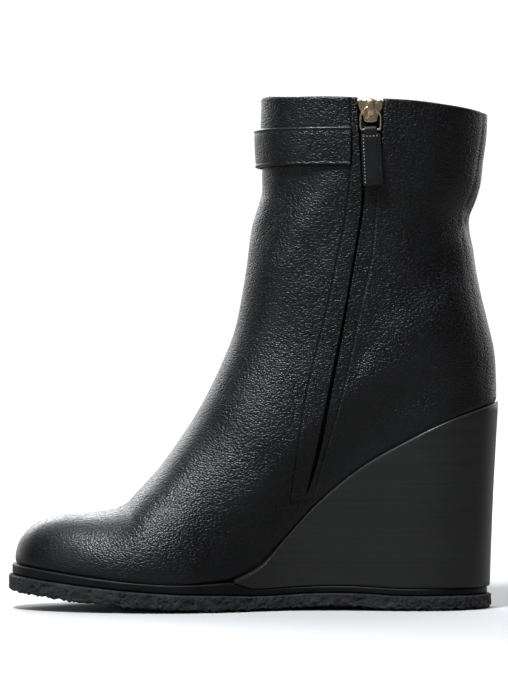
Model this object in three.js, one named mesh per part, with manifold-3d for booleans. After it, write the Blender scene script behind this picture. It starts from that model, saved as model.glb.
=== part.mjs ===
// A right ankle boot on a tall stacked wedge, in millimetres, +Z up, toe at -X, inner side at -Y.
// The origin lies on the ground, under the middle of the boot's length.
import * as THREE from 'three';
import { mergeVertices } from 'three/addons/utils/BufferGeometryUtils.js';
import Module from 'manifold-3d';

const wasm = await Module();
wasm.setup();

// Overall sizes
const BOOT_LENGTH = 237.2;
const BOOT_HEIGHT = 247.2;
const COLLAR_DROP = 8.6;
const HEEL_HEIGHT = 100.4;
const BALL_WIDTH = 88;
const SHAFT_WIDTH = 69;
const SHAFT_LENGTH = 108;

// Sole
const TOE_SPRING = 8.6;
const ARCH_RISE = 1.3;
const CREPE_THICKNESS = 8.3;
const CREPE_HEEL_THICKNESS = 7.1;
const MIDSOLE_THICKNESS = 4.8;
const MIDSOLE_HEEL_THICKNESS = 3;
const MIDSOLE_EDGE = 2;
const HEEL_UNDERCUT = 3.4;
const CREPE_ROUND = 0.6;
const WEDGE_LIP = 0.8;
const WEDGE_START = 0.462;
const LEDGE_SLOPE = 0.5;

// Upper, insole and strap
const WALL = 2;
const TOE_EDGE = 3.4;
const HEEL_EDGE = 0.8;
const INSOLE_THICKNESS = 3.2;
const STRAP_HEIGHT = 18.6;
const STRAP_THICKNESS = 2.2;
const STRAP_STANDOFF = 0.8;
const STRAP_BELOW_COLLAR = 16;

// Zip
const SLIT_WIDTH = 12.2;
const SLIT_FOOT = 54;
const ZIP_BELOW_COLLAR = 4;
const TAPE_WIDTH = 18;
const TAPE_THICKNESS = 0.8;
const CHAIN_WIDTH = 5;
const CHAIN_THICKNESS = 1;
const SLIDER_WIDTH = 11.2;
const SLIDER_LENGTH = 11.6;
const SLIDER_THICKNESS = 2.6;
const BRIDGE_WIDTH = 2.6;
const BRIDGE_THICKNESS = 0.9;
const WIRE = 1;
const RING_LENGTH = 11.6;
const RING_WIDTH = 10.6;
const RING_NECK = 4.6;
const TAB_WIDTH = 9.5;
const TAB_LENGTH = 29;
const TAB_THICKNESS = 2.4;
const TAB_LOOP = 4;
const TAB_TILT = 2.5;

// Kept between neighbours, and the fineness of the surfaces
const CLEARANCE = 0.3;
const SEAT_GAP = 0.42;
const UPPER_COLUMNS = 60;
const UPPER_RINGS = 24;
const SOLE_STATIONS = 60;

// Tables: "along" is a share of BOOT_LENGTH from the toe, other columns are shares as their names say.
const frontRows = [
  // along, rise: share of the way from the feather at the toe to BOOT_HEIGHT
  [0.0154, 0], [0.0161, 0.018], [0.0196, 0.037], [0.0267, 0.052], [0.0398, 0.069], [0.0575, 0.085],
  [0.089, 0.0975], [0.13, 0.1052], [0.18, 0.1092], [0.214, 0.1158], [0.24, 0.1269], [0.2635, 0.153],
  [0.306, 0.2015], [0.353, 0.27], [0.4025, 0.356], [0.4345, 0.4257], [0.4615, 0.4984], [0.4755, 0.5677],
  [0.486, 0.6365], [0.499, 0.731], [0.5088, 0.7638], [0.5165, 0.7914], [0.5175, 0.826], [0.5143, 0.9144],
  [0.516, 1],
];
const backRows = [
  // rise: share of the way from HEEL_HEIGHT to the collar's back, along
  [0, 0.9966], [0.08, 0.9955], [0.165, 0.9925], [0.28, 0.978], [0.365, 0.9655], [0.45, 0.956],
  [0.535, 0.95], [0.6, 0.9445], [0.64, 0.945], [0.69, 0.955], [0.75, 0.964], [0.83, 0.969],
  [0.92, 0.9755], [1, 0.9775],
];
const collarRows = [
  // depth: share of the collar's length from the front, drop: share of COLLAR_DROP
  [0, 0], [0.08, 0.12], [0.3, 0.2], [0.5, 0.32], [0.67, 0.43], [0.79, 0.6], [0.89, 0.76], [1, 1],
];
const heelRiseRows = [
  // along, rise of the upper's bottom line: share of the way from the midsole to HEEL_HEIGHT
  [0, 0], [0.4, 0], [0.44, 0.008], [0.475, 0.038], [0.5, 0.074], [0.527, 0.129], [0.553, 0.21],
  [0.5875, 0.318], [0.626, 0.43], [0.677, 0.554], [0.716, 0.636], [0.758, 0.709], [0.808, 0.783],
  [0.844, 0.835], [0.886, 0.888], [0.948, 0.95], [1, 1],
];
const solePlanRows = [
  // along, inner half and outer half: shares of BALL_WIDTH, before the toe and heel are rounded
  [0, 0.42, 0.34], [0.1, 0.445, 0.375], [0.2, 0.485, 0.42], [0.3, 0.511, 0.465], [0.37, 0.503, 0.5],
  [0.45, 0.44, 0.508], [0.5, 0.37, 0.485], [0.55, 0.315, 0.45], [0.6, 0.288, 0.415],
  [0.7, 0.29, 0.362], [0.8, 0.325, 0.345], [0.9, 0.345, 0.342], [1, 0.345, 0.34],
];
const upperPlanRows = [
  // along, inner half and outer half of the upper's bottom line: shares of BALL_WIDTH
  [0, 0.385, 0.305], [0.1, 0.415, 0.345], [0.2, 0.456, 0.392], [0.3, 0.492, 0.437], [0.37, 0.475, 0.472],
  [0.45, 0.385, 0.475], [0.5, 0.312, 0.452], [0.55, 0.272, 0.416], [0.6, 0.26, 0.382],
  [0.7, 0.277, 0.345], [0.8, 0.313, 0.334], [0.9, 0.336, 0.333], [1, 0.336, 0.331],
];
const shaftRows = [
  // station: 0 at the vamp, 1 at the ankle, 2 at the collar; half width: share of SHAFT_WIDTH;
  // reach: share of the section over which the front is rounded
  [0, 0.54, 1], [0.15, 0.535, 0.86], [0.3, 0.52, 0.76], [0.5, 0.492, 0.66], [0.67, 0.468, 0.56],
  [0.83, 0.46, 0.46], [1, 0.457, 0.46], [1.35, 0.452, 0.48], [1.65, 0.478, 0.5], [2, 0.5, 0.5],
];
const slitRows = [
  // rise: share of the way from SLIT_FOOT to BOOT_HEIGHT; along: the slit's front edge;
  // open: share of SLIT_WIDTH; seam: along, the front facing's seam
  [0, 0.606, 0, 0.576], [0.065, 0.6175, 0.12, 0.583], [0.267, 0.651, 0.14, 0.606],
  [0.48, 0.685, 0.1, 0.6465], [0.6, 0.7015, 0.09, 0.6665], [0.66, 0.7095, 0.1, 0.678],
  [0.72, 0.7165, 0.1, 0.6875], [0.78, 0.7175, 0.17, 0.6938], [0.84, 0.7145, 0.52, 0.6958],
  [0.9, 0.711, 0.88, 0.6965], [0.95, 0.709, 0.99, 0.6955], [1, 0.708, 1, 0.694],
];

// Cubic through a table's rows, each slope that of the parabola through its neighbours.
function through(rows, column) {
  const keys = rows.map((row) => row[0]);
  const values = rows.map((row) => row[column]);
  const last = keys.length - 1;
  const steps = keys.slice(1).map((key, i) => key - keys[i]);
  const rises = steps.map((step, i) => (values[i + 1] - values[i]) / step);
  const slopes = keys.map((key, i) => {
    if (i === 0) return rises[0];
    if (i === last) return rises[last - 1];
    return (steps[i - 1] * rises[i] + steps[i] * rises[i - 1]) / (steps[i - 1] + steps[i]);
  });
  return (key) => {
    const held = THREE.MathUtils.clamp(key, keys[0], keys[last]);
    let i = 0;
    while (i < last - 1 && held > keys[i + 1]) i += 1;
    const s = (held - keys[i]) / steps[i];
    const a = values[i];
    const b = values[i + 1];
    const bend = s * (1 - s) * ((1 - s) * (slopes[i] - rises[i]) - s * (slopes[i + 1] - rises[i]));
    return a + (b - a) * s + bend * steps[i];
  };
}

const mix = THREE.MathUtils.lerp;
const smooth = (value) => THREE.MathUtils.smoothstep(value, 0, 1);
const placeAlong = (share) => (share - 0.5) * BOOT_LENGTH;
const shareAlong = (x) => x / BOOT_LENGTH + 0.5;
const roundOff = (share, power) => {
  const left = THREE.MathUtils.clamp(1 - share, 0, 1);
  return (1 - left ** power) ** (1 / power);
};

// Heights of the sole's layers along the boot
const SPRING_END = 0.4;
const SPRING_POWER = 1.5;
const TOE_POWER = 2.3;
const SIDE_POWER = 2.15;
const TOE_ROUND = 0.26;
const HEEL_ROUND = 0.19;

function soleBottom(x) {
  const along = shareAlong(x);
  const spring = TOE_SPRING * Math.max(0, 1 - along / SPRING_END) ** SPRING_POWER;
  const arch = ARCH_RISE * smooth((along - 0.49) / 0.17) * smooth((0.82 - along) / 0.14);
  return spring + arch;
}

function crepeTop(x) {
  const along = shareAlong(x);
  const flat = mix(CREPE_THICKNESS, CREPE_HEEL_THICKNESS, smooth((along - 0.38) / 0.16));
  return soleBottom(x) + flat;
}

const heelRise = through(heelRiseRows, 1);
function foreSoleTop(x) {
  const spring = TOE_SPRING * Math.max(0, 1 - shareAlong(x) / SPRING_END) ** SPRING_POWER;
  return spring + CREPE_THICKNESS + CLEARANCE + MIDSOLE_THICKNESS + SEAT_GAP;
}

// The line on which the upper's bottom edge lies
function featherHeight(x) {
  return mix(foreSoleTop(x), HEEL_HEIGHT, heelRise(shareAlong(x)));
}

function midsoleTop(x) {
  const under = crepeTop(x) + CLEARANCE + MIDSOLE_HEEL_THICKNESS;
  return mix(featherHeight(x) - SEAT_GAP, under, smooth((shareAlong(x) - 0.43) / 0.07));
}

// The upper's outline from the side
const TOE_TIP = placeAlong(0) + TOE_EDGE;
const TOE_FEATHER = featherHeight(TOE_TIP);
const HEEL_BACK = placeAlong(1) - HEEL_EDGE;
const COLLAR_BACK = BOOT_HEIGHT - COLLAR_DROP;
const FRONT_TIP = placeAlong(frontRows[0][0]);
const FRONT_TOP = placeAlong(frontRows[frontRows.length - 1][0]);
const frontScale = (FRONT_TOP - TOE_TIP) / (FRONT_TOP - FRONT_TIP);
const SAMPLES = 400;

function polyline(count, place) {
  const points = [];
  for (let i = 0; i <= count; i += 1) points.push(place(i / count));
  const lengths = [0];
  for (let i = 1; i <= count; i += 1) lengths.push(lengths[i - 1] + points[i].distanceTo(points[i - 1]));
  return { points, lengths };
}

function pointByValue(points, values, value) {
  let low = 0;
  let high = values.length - 1;
  while (high - low > 1) {
    const middle = (low + high) >> 1;
    if (values[middle] <= value) low = middle;
    else high = middle;
  }
  const span = values[high] - values[low];
  const share = span > 0 ? THREE.MathUtils.clamp((value - values[low]) / span, 0, 1) : 0;
  return points[low].clone().lerp(points[high], share);
}

function rowLine(rows) {
  // The rows joined by a curve, read by the share of its length
  const chords = [0];
  for (let i = 1; i < rows.length; i += 1) {
    chords.push(chords[i - 1] + Math.hypot(rows[i][0] - rows[i - 1][0], rows[i][1] - rows[i - 1][1]));
  }
  const keyed = rows.map((row, i) => [chords[i], row[0], row[1]]);
  const first = through(keyed, 1);
  const second = through(keyed, 2);
  return polyline(SAMPLES, (share) => {
    const at = share * chords[chords.length - 1];
    return new THREE.Vector2(first(at), second(at));
  });
}

const front = rowLine(frontRows.map(([along, rise]) => [
  FRONT_TOP + (placeAlong(along) - FRONT_TOP) * frontScale,
  mix(TOE_FEATHER, BOOT_HEIGHT, rise),
]));
const backAlong = through(backRows, 1);
const backShift = HEEL_BACK - placeAlong(backRows[0][1]);
function backX(z) {
  return placeAlong(backAlong((z - HEEL_HEIGHT) / (COLLAR_BACK - HEEL_HEIGHT))) + backShift;
}
const feather = polyline(SAMPLES, (share) => {
  const x = mix(TOE_TIP, HEEL_BACK, share);
  return new THREE.Vector2(x, featherHeight(x));
});
const back = polyline(SAMPLES, (share) => {
  const z = mix(feather.points[SAMPLES].y, COLLAR_BACK, share);
  return new THREE.Vector2(backX(z), z);
});
const collarDrop = through(collarRows, 1);
const collar = polyline(SAMPLES, (share) => {
  const x = mix(FRONT_TOP, back.points[SAMPLES].x, share);
  return new THREE.Vector2(x, BOOT_HEIGHT - COLLAR_DROP * collarDrop(share));
});

// Sections fan out from a point above the vamp: upright over the forefoot, level round the shaft.
const PIVOT = new THREE.Vector2(placeAlong(0.228), mix(TOE_FEATHER, BOOT_HEIGHT, 0.563));
function stationOf(x, z) {
  if (z >= PIVOT.y) return 1 + (z - PIVOT.y) / (BOOT_HEIGHT - PIVOT.y);
  if (x <= PIVOT.x) return (x - PIVOT.x) / (PIVOT.x - TOE_TIP);
  return 1 - Math.atan2(PIVOT.y - z, x - PIVOT.x) / (Math.PI / 2);
}
const farPoints = feather.points.concat(back.points.slice(1));
const farStations = farPoints.map((point) => stationOf(point.x, point.y));
const frontStations = front.points.map((point) => stationOf(point.x, point.y));

const soleInner = through(solePlanRows, 1);
const soleOuter = through(solePlanRows, 2);
const upperInner = through(upperPlanRows, 1);
const upperOuter = through(upperPlanRows, 2);
const shaftHalf = through(shaftRows, 1);
const frontReach = through(shaftRows, 2);

// Middle and half width of the upper's outer face at a place of its side view
function sectionAt(x, z) {
  const station = stationOf(x, z);
  const nearPoint = pointByValue(front.points, frontStations, station);
  const farPoint = pointByValue(farPoints, farStations, station);
  const length = Math.max(nearPoint.distanceTo(farPoint), 0.01);
  const run = Math.hypot(x - nearPoint.x, z - nearPoint.y);
  const along = shareAlong(x);
  const openInner = BALL_WIDTH * upperInner(along);
  const openOuter = BALL_WIDTH * upperOuter(along);
  const toe = roundOff((x - TOE_TIP) / (TOE_ROUND * BOOT_LENGTH), TOE_POWER);
  const footHalf = 0.5 * (openInner + openOuter) * toe;
  const footMiddle = 0.5 * (openOuter - openInner);
  const height = Math.max(0, z - featherHeight(x));
  const share = smooth(height / (0.62 * SHAFT_WIDTH)) * smooth(station / 0.4);
  const reach = frontReach(station) * length;
  const rounding = roundOff(run / reach, SIDE_POWER);
  const heelReach = mix(0.42, 0.5, smooth(station - 0.9)) * SHAFT_LENGTH;
  const heel = roundOff((backX(z) - x) / heelReach, SIDE_POWER);
  const half = mix(footHalf, SHAFT_WIDTH * shaftHalf(station), share);
  return { middle: footMiddle * (1 - share), half: half * rounding * heel };
}

// Rings of the upper, from the feather (v = 0) to the collar (v = 1)
function sidePoint(t, v) {
  const low = pointByValue(feather.points, feather.lengths, t * feather.lengths[SAMPLES]);
  const high = pointByValue(collar.points, collar.lengths, t * collar.lengths[SAMPLES]);
  const near = pointByValue(front.points, front.lengths, v * front.lengths[SAMPLES]);
  const far = pointByValue(back.points, back.lengths, v * back.lengths[SAMPLES]);
  const along = low.lerp(high, v);
  const startLow = feather.points[0].clone().lerp(collar.points[0], v);
  const endLow = feather.points[SAMPLES].clone().lerp(collar.points[SAMPLES], v);
  const lift = near.sub(startLow).multiplyScalar(1 - t);
  const push = far.sub(endLow).multiplyScalar(t);
  return along.add(lift).add(push);
}

function outerPoint(angle, v) {
  const t = (1 - Math.cos(angle)) / 2;
  const side = sidePoint(t, v);
  const section = sectionAt(side.x, side.y);
  const outward = Math.sin(angle) >= 0 ? -1 : 1;
  return new THREE.Vector3(side.x, section.middle + outward * section.half, side.y);
}

function outwardNormal(angle, v, level) {
  const step = 0.02;
  const around = outerPoint(angle + step, v).sub(outerPoint(angle - step, v));
  if (level) return new THREE.Vector3(around.y, -around.x, 0).normalize();
  const up = outerPoint(angle, Math.min(1, v + 0.006)).sub(outerPoint(angle, Math.max(0, v - 0.006)));
  return around.cross(up).normalize();
}

// The slit for the zip; its edges lie further apart than this angle wherever it is open
const SLIT_LEAST = 0.002;
const slitFront = through(slitRows, 1);
const slitOpen = through(slitRows, 2);
const facingFront = through(slitRows, 3);
const slitShare = (z) => (z - SLIT_FOOT) / (BOOT_HEIGHT - SLIT_FOOT);
const slitFrontX = (z) => placeAlong(slitFront(slitShare(z)));
const slitRearX = (z) => slitFrontX(z) + SLIT_WIDTH * Math.max(0, slitOpen(slitShare(z)));
const slitMiddleX = (z) => (slitFrontX(z) + slitRearX(z)) / 2;

function slitAngle(v, edgeX) {
  let low = 0.15 * Math.PI;
  let high = 0.85 * Math.PI;
  for (let i = 0; i < 40; i += 1) {
    const angle = (low + high) / 2;
    const side = sidePoint((1 - Math.cos(angle)) / 2, v);
    if (side.x < edgeX(side.y)) low = angle;
    else high = angle;
  }
  return (low + high) / 2;
}

// Geometry helpers: a closed mesh from points and triangles, wound so that its faces point out
function closedMesh(points, triangles) {
  const positions = new Float32Array(points.flatMap((point) => [point.x, point.y, point.z]));
  const raw = new THREE.BufferGeometry();
  raw.setAttribute('position', new THREE.BufferAttribute(positions, 3));
  raw.setIndex(triangles.flat());
  const merged = mergeVertices(raw, 1e-4);
  const index = merged.getIndex().array;
  const place = merged.getAttribute('position');
  const kept = [];
  let volume = 0;
  const corner = (i) => new THREE.Vector3().fromBufferAttribute(place, i);
  for (let i = 0; i < index.length; i += 3) {
    const [a, b, c] = [index[i], index[i + 1], index[i + 2]];
    if (a !== b && b !== c && c !== a) {
      kept.push(a, b, c);
      volume += corner(a).dot(corner(b).cross(corner(c)));
    }
  }
  if (volume < 0) kept.reverse();
  merged.setIndex(kept);
  return merged;
}

// Closed rings of points, one above the other, with flat strips over the first and last
function stackedRings(rings) {
  const count = rings[0].length;
  const points = rings.flat();
  const triangles = [];
  for (let level = 0; level < rings.length - 1; level += 1) {
    for (let i = 0; i < count; i += 1) {
      const j = (i + 1) % count;
      const low = level * count;
      const high = low + count;
      triangles.push([low + i, low + j, high + j], [low + i, high + j, high + i]);
    }
  }
  const top = (rings.length - 1) * count;
  for (let i = 0; i < count / 2 - 1; i += 1) {
    const mirror = count - 1 - i;
    triangles.push([i, mirror, i + 1], [i + 1, mirror, mirror - 1]);
    triangles.push([top + i, top + i + 1, top + mirror], [top + i + 1, top + mirror - 1, top + mirror]);
  }
  return closedMesh(points, triangles);
}

// A layer of the sole: each level gives the inner and outer edges and the height at a station
function layer(levels) {
  const rings = levels.map((level) => {
    const inner = [];
    const outer = [];
    for (let i = 0; i <= SOLE_STATIONS; i += 1) {
      const turn = (1 - Math.cos((Math.PI * i) / SOLE_STATIONS)) / 2;
      const place = level(turn);
      inner.push(new THREE.Vector3(place.x, place.inner, place.z));
      outer.push(new THREE.Vector3(place.x, place.outer, place.z));
    }
    return inner.concat(outer.reverse());
  });
  return stackedRings(rings);
}

// Plan of a sole edge: the table's halves, drawn in by an inset and rounded at the toe and the heel
function planEdge(x, start, end, inset, innerShare, outerShare) {
  const along = shareAlong(x);
  const inner = BALL_WIDTH * innerShare(along) - inset;
  const outer = BALL_WIDTH * outerShare(along) - inset;
  const toe = roundOff((x - start) / (TOE_ROUND * BOOT_LENGTH - inset), TOE_POWER);
  const heel = roundOff((end - x) / (HEEL_ROUND * BOOT_LENGTH - inset), SIDE_POWER);
  const middle = 0.5 * (outer - inner);
  const half = 0.5 * (outer + inner) * toe * heel;
  return { inner: middle - half, outer: middle + half };
}

const SOLE_FRONT = placeAlong(0);
const SOLE_BACK = placeAlong(1) - HEEL_UNDERCUT;
function soleLevel(inset, height) {
  return (turn) => {
    const start = SOLE_FRONT + inset;
    const end = SOLE_BACK - inset;
    const x = mix(start, end, turn);
    return { x, z: height(x), ...planEdge(x, start, end, inset, soleInner, soleOuter) };
  };
}

function outsoleGeometry() {
  return layer([
    soleLevel(CREPE_ROUND, soleBottom),
    soleLevel(0, (x) => soleBottom(x) + 2 * CREPE_ROUND),
    soleLevel(0, (x) => crepeTop(x) - CREPE_ROUND),
    soleLevel(CREPE_ROUND, crepeTop),
  ]);
}

function midsoleGeometry() {
  return layer([
    soleLevel(MIDSOLE_EDGE, (x) => crepeTop(x) + CLEARANCE),
    soleLevel(MIDSOLE_EDGE, midsoleTop),
  ]);
}

// The wedge's side runs from the midsole's edge up to a lip just outside the upper.
function upperEdge(x, inset) {
  const start = TOE_TIP + inset;
  const end = HEEL_BACK - inset;
  return planEdge(x, start, end, inset, upperInner, upperOuter);
}

function wedgeLevel(share, inset) {
  const lowEnd = SOLE_BACK - MIDSOLE_EDGE * 0.3;
  const highEnd = HEEL_BACK + HEEL_EDGE;
  return (turn) => {
    const end = mix(lowEnd, highEnd, share ** 1.3) - inset;
    const x = mix(placeAlong(WEDGE_START), end, turn);
    const low = planEdge(x, SOLE_FRONT + MIDSOLE_EDGE, end, MIDSOLE_EDGE, soleInner, soleOuter);
    const high = planEdge(x, TOE_TIP, end, -WEDGE_LIP, upperInner, upperOuter);
    const bottom = midsoleTop(x) + CLEARANCE;
    const top = featherHeight(x) - SEAT_GAP;
    const tall = smooth((top - bottom) / (0.4 * HEEL_HEIGHT));
    const lip = { inner: mix(low.inner, high.inner, tall), outer: mix(low.outer, high.outer, tall) };
    const under = upperEdge(x, 0);
    const ledge = Math.max(0, under.inner - lip.inner - WEDGE_LIP);
    const drop = Math.min(WEDGE_LIP / 2 + LEDGE_SLOPE * ledge, 0.6 * (top - bottom));
    if (inset > 0) return { x, z: top, inner: under.inner + inset, outer: under.outer - inset };
    return {
      x,
      z: mix(bottom, top - drop, share),
      inner: mix(low.inner, lip.inner, share),
      outer: mix(low.outer, lip.outer, share),
    };
  };
}

function wedgeGeometry() {
  return layer([
    wedgeLevel(0, 0), wedgeLevel(0.35, 0), wedgeLevel(0.7, 0), wedgeLevel(1, 0), wedgeLevel(1, WEDGE_LIP),
  ]);
}

function insoleGeometry() {
  const inset = WALL + 3 * CLEARANCE;
  const level = (height) => (turn) => {
    const x = mix(TOE_TIP + inset, HEEL_BACK - inset, turn);
    return { x, z: featherHeight(x) + height, ...upperEdge(x, inset) };
  };
  return layer([level(0), level(INSOLE_THICKNESS)]);
}

// The upper: an outer and an inner skin, closed at the feather, the collar and the slit's edges
function upperGeometry() {
  const points = [];
  const triangles = [];
  let slitStart = UPPER_RINGS;
  for (let ring = 0; ring <= UPPER_RINGS; ring += 1) {
    const v = (ring / UPPER_RINGS) ** 1.2;
    const frontEdge = slitAngle(v, slitFrontX);
    const rearEdge = slitAngle(v, slitRearX);
    const open = slitStart < ring || rearEdge - frontEdge > SLIT_LEAST;
    if (open) slitStart = Math.min(slitStart, ring - 1);
    const from = open ? rearEdge : frontEdge;
    const to = frontEdge + 2 * Math.PI;
    for (let column = 0; column <= UPPER_COLUMNS; column += 1) {
      const angle = mix(from, to, column / UPPER_COLUMNS);
      const outside = outerPoint(angle, v);
      const level = ring === 0 || ring === UPPER_RINGS;
      const inside = outside.clone().addScaledVector(outwardNormal(angle, v, level), -WALL);
      if (ring === 0) inside.z = featherHeight(inside.x);
      points.push(outside, inside);
    }
  }
  const at = (ring, column, skin) => 2 * (ring * (UPPER_COLUMNS + 1) + column) + skin;
  const quad = (a, b, c, d) => triangles.push([a, b, c], [a, c, d]);
  for (let ring = 0; ring < UPPER_RINGS; ring += 1) {
    for (let column = 0; column < UPPER_COLUMNS; column += 1) {
      const next = column + 1;
      quad(at(ring, column, 0), at(ring, next, 0), at(ring + 1, next, 0), at(ring + 1, column, 0));
      quad(at(ring, column, 1), at(ring + 1, column, 1), at(ring + 1, next, 1), at(ring, next, 1));
    }
    if (ring >= slitStart) {
      quad(at(ring, 0, 0), at(ring + 1, 0, 0), at(ring + 1, 0, 1), at(ring, 0, 1));
      const end = UPPER_COLUMNS;
      quad(at(ring, end, 0), at(ring, end, 1), at(ring + 1, end, 1), at(ring + 1, end, 0));
    }
  }
  for (let column = 0; column < UPPER_COLUMNS; column += 1) {
    const next = column + 1;
    quad(at(0, column, 0), at(0, column, 1), at(0, next, 1), at(0, next, 0));
    const top = UPPER_RINGS;
    quad(at(top, column, 0), at(top, next, 0), at(top, next, 1), at(top, column, 1));
  }
  return closedMesh(points, triangles);
}

// A place on the inner side of the shaft's wall, sunk by a depth along its normal
function wallPoint(x, z, depth) {
  const step = 0.002 * BOOT_LENGTH;
  const y = (px, pz) => {
    const section = sectionAt(px, pz);
    return section.middle - section.half;
  };
  const normal = new THREE.Vector3(
    (y(x + step, z) - y(x - step, z)) / (2 * step),
    -1,
    (y(x, z + step) - y(x, z - step)) / (2 * step),
  ).normalize();
  return new THREE.Vector3(x, y(x, z), z).addScaledVector(normal, -depth);
}

// A ribbon that follows the slit behind the wall, between two heights; its columns are offsets in X
function ribbon(offsets, depth, thickness) {
  const rows = 34;
  const rings = [];
  for (let row = 0; row <= rows; row += 1) {
    const z = mix(ZIP_FOOT, ZIP_TOP, row / rows);
    const middle = slitMiddleX(z);
    const outside = offsets.map((offset) => wallPoint(middle + offset, z, depth));
    const inside = offsets.map((offset) => wallPoint(middle + offset, z, depth + thickness));
    rings.push(outside.concat(inside.reverse()));
  }
  return stackedRings(rings);
}

const ZIP_TOP = BOOT_HEIGHT - ZIP_BELOW_COLLAR;
const TAPE_REAR = slitMiddleX(SLIT_FOOT) + TAPE_WIDTH / 2;
const ZIP_FOOT = featherHeight(TAPE_REAR) + INSOLE_THICKNESS + WALL + CLEARANCE;
const CHAIN_DEPTH = WALL + CLEARANCE;
const TAPE_DEPTH = CHAIN_DEPTH + CHAIN_THICKNESS + CLEARANCE;
const chainOffsets = [-CHAIN_WIDTH / 2, CHAIN_WIDTH / 2];
const tapeOffsets = [-TAPE_WIDTH / 2, ...chainOffsets, TAPE_WIDTH / 2];

// The slider, ring and tab stand on the wall just below the collar, where it is nearly flat.
const SLIDER_TOP = ZIP_TOP + 0.1 * SLIDER_LENGTH;
const SLIDER_MIDDLE = SLIDER_TOP - SLIDER_LENGTH / 2;
const SLIDER_X = slitMiddleX(SLIDER_MIDDLE);
const SLIDER_FACE = -wallPoint(SLIDER_X, SLIDER_MIDDLE, CHAIN_DEPTH - CLEARANCE).y;
const BRIDGE_GAP = WIRE + 2 * CLEARANCE;
const PIN_HEIGHT = SLIDER_FACE + SLIDER_THICKNESS + CLEARANCE + WIRE / 2;
const PIN_Z = SLIDER_TOP - 0.38 * SLIDER_LENGTH;

function toSolid(geometry) {
  const bare = geometry.index ? geometry.clone() : geometry;
  bare.deleteAttribute('normal');
  bare.deleteAttribute('uv');
  const merged = mergeVertices(bare, 1e-4);
  const vertProperties = Float32Array.from(merged.getAttribute('position').array);
  const triVerts = Uint32Array.from(merged.getIndex().array);
  return new wasm.Manifold(new wasm.Mesh({ numProp: 3, vertProperties, triVerts }));
}

function toGeometry(solid) {
  const mesh = solid.getMesh();
  const geometry = new THREE.BufferGeometry();
  geometry.setAttribute('position', new THREE.BufferAttribute(mesh.vertProperties, 3));
  geometry.setIndex(new THREE.BufferAttribute(mesh.triVerts, 1));
  return geometry;
}

function extrude(shape, depth, curveSegments) {
  const options = { depth, bevelEnabled: false, curveSegments };
  const geometry = new THREE.ExtrudeGeometry(shape, options);
  geometry.deleteAttribute('normal');
  geometry.deleteAttribute('uv');
  return mergeVertices(geometry, 1e-4);
}

// Slider body: shoulders at the top, narrow at the foot; drawn in XZ, extruded outwards
function sliderBody() {
  const half = SLIDER_WIDTH / 2;
  const top = SLIDER_LENGTH / 2;
  const shape = new THREE.Shape();
  shape.moveTo(-half * 0.45, top);
  shape.quadraticCurveTo(-half, top, -half, top * 0.55);
  shape.quadraticCurveTo(-half, -top * 0.1, -half * 0.62, -top * 0.6);
  shape.quadraticCurveTo(-half * 0.55, -top, -half * 0.35, -top);
  shape.lineTo(half * 0.35, -top);
  shape.quadraticCurveTo(half * 0.55, -top, half * 0.62, -top * 0.6);
  shape.quadraticCurveTo(half, -top * 0.1, half, top * 0.55);
  shape.quadraticCurveTo(half, top, half * 0.45, top);
  const geometry = extrude(shape, SLIDER_THICKNESS, 5);
  geometry.rotateX(Math.PI / 2);
  geometry.translate(SLIDER_X, -SLIDER_FACE, SLIDER_MIDDLE);
  return geometry;
}

// Bridge over the ring's wire: drawn in YZ as an arch, extruded across the slider
function sliderBridge() {
  const foot = -0.2 * BRIDGE_THICKNESS;
  const rise = BRIDGE_GAP;
  const half = 0.36 * SLIDER_LENGTH;
  const shape = new THREE.Shape();
  shape.moveTo(-half, foot);
  shape.quadraticCurveTo(-half, rise + BRIDGE_THICKNESS, -half * 0.4, rise + BRIDGE_THICKNESS);
  shape.lineTo(half * 0.4, rise + BRIDGE_THICKNESS);
  shape.quadraticCurveTo(half, rise + BRIDGE_THICKNESS, half, foot);
  shape.lineTo(half - BRIDGE_THICKNESS, foot);
  shape.quadraticCurveTo(half - BRIDGE_THICKNESS, rise, half * 0.4, rise);
  shape.lineTo(-half * 0.4, rise);
  shape.quadraticCurveTo(-half + BRIDGE_THICKNESS, rise, -half + BRIDGE_THICKNESS, foot);
  const geometry = extrude(shape, BRIDGE_WIDTH, 5);
  geometry.translate(0, 0, -BRIDGE_WIDTH / 2);
  const across = new THREE.Vector3(1, 0, 0);
  const up = new THREE.Vector3(0, 0, 1);
  const out = new THREE.Vector3(0, -1, 0);
  geometry.applyMatrix4(new THREE.Matrix4().makeBasis(up, out, across));
  geometry.translate(SLIDER_X, -SLIDER_FACE - SLIDER_THICKNESS, PIN_Z);
  return geometry;
}

function sliderGeometry() {
  return toGeometry(toSolid(sliderBody()).add(toSolid(sliderBridge())));
}

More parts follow.
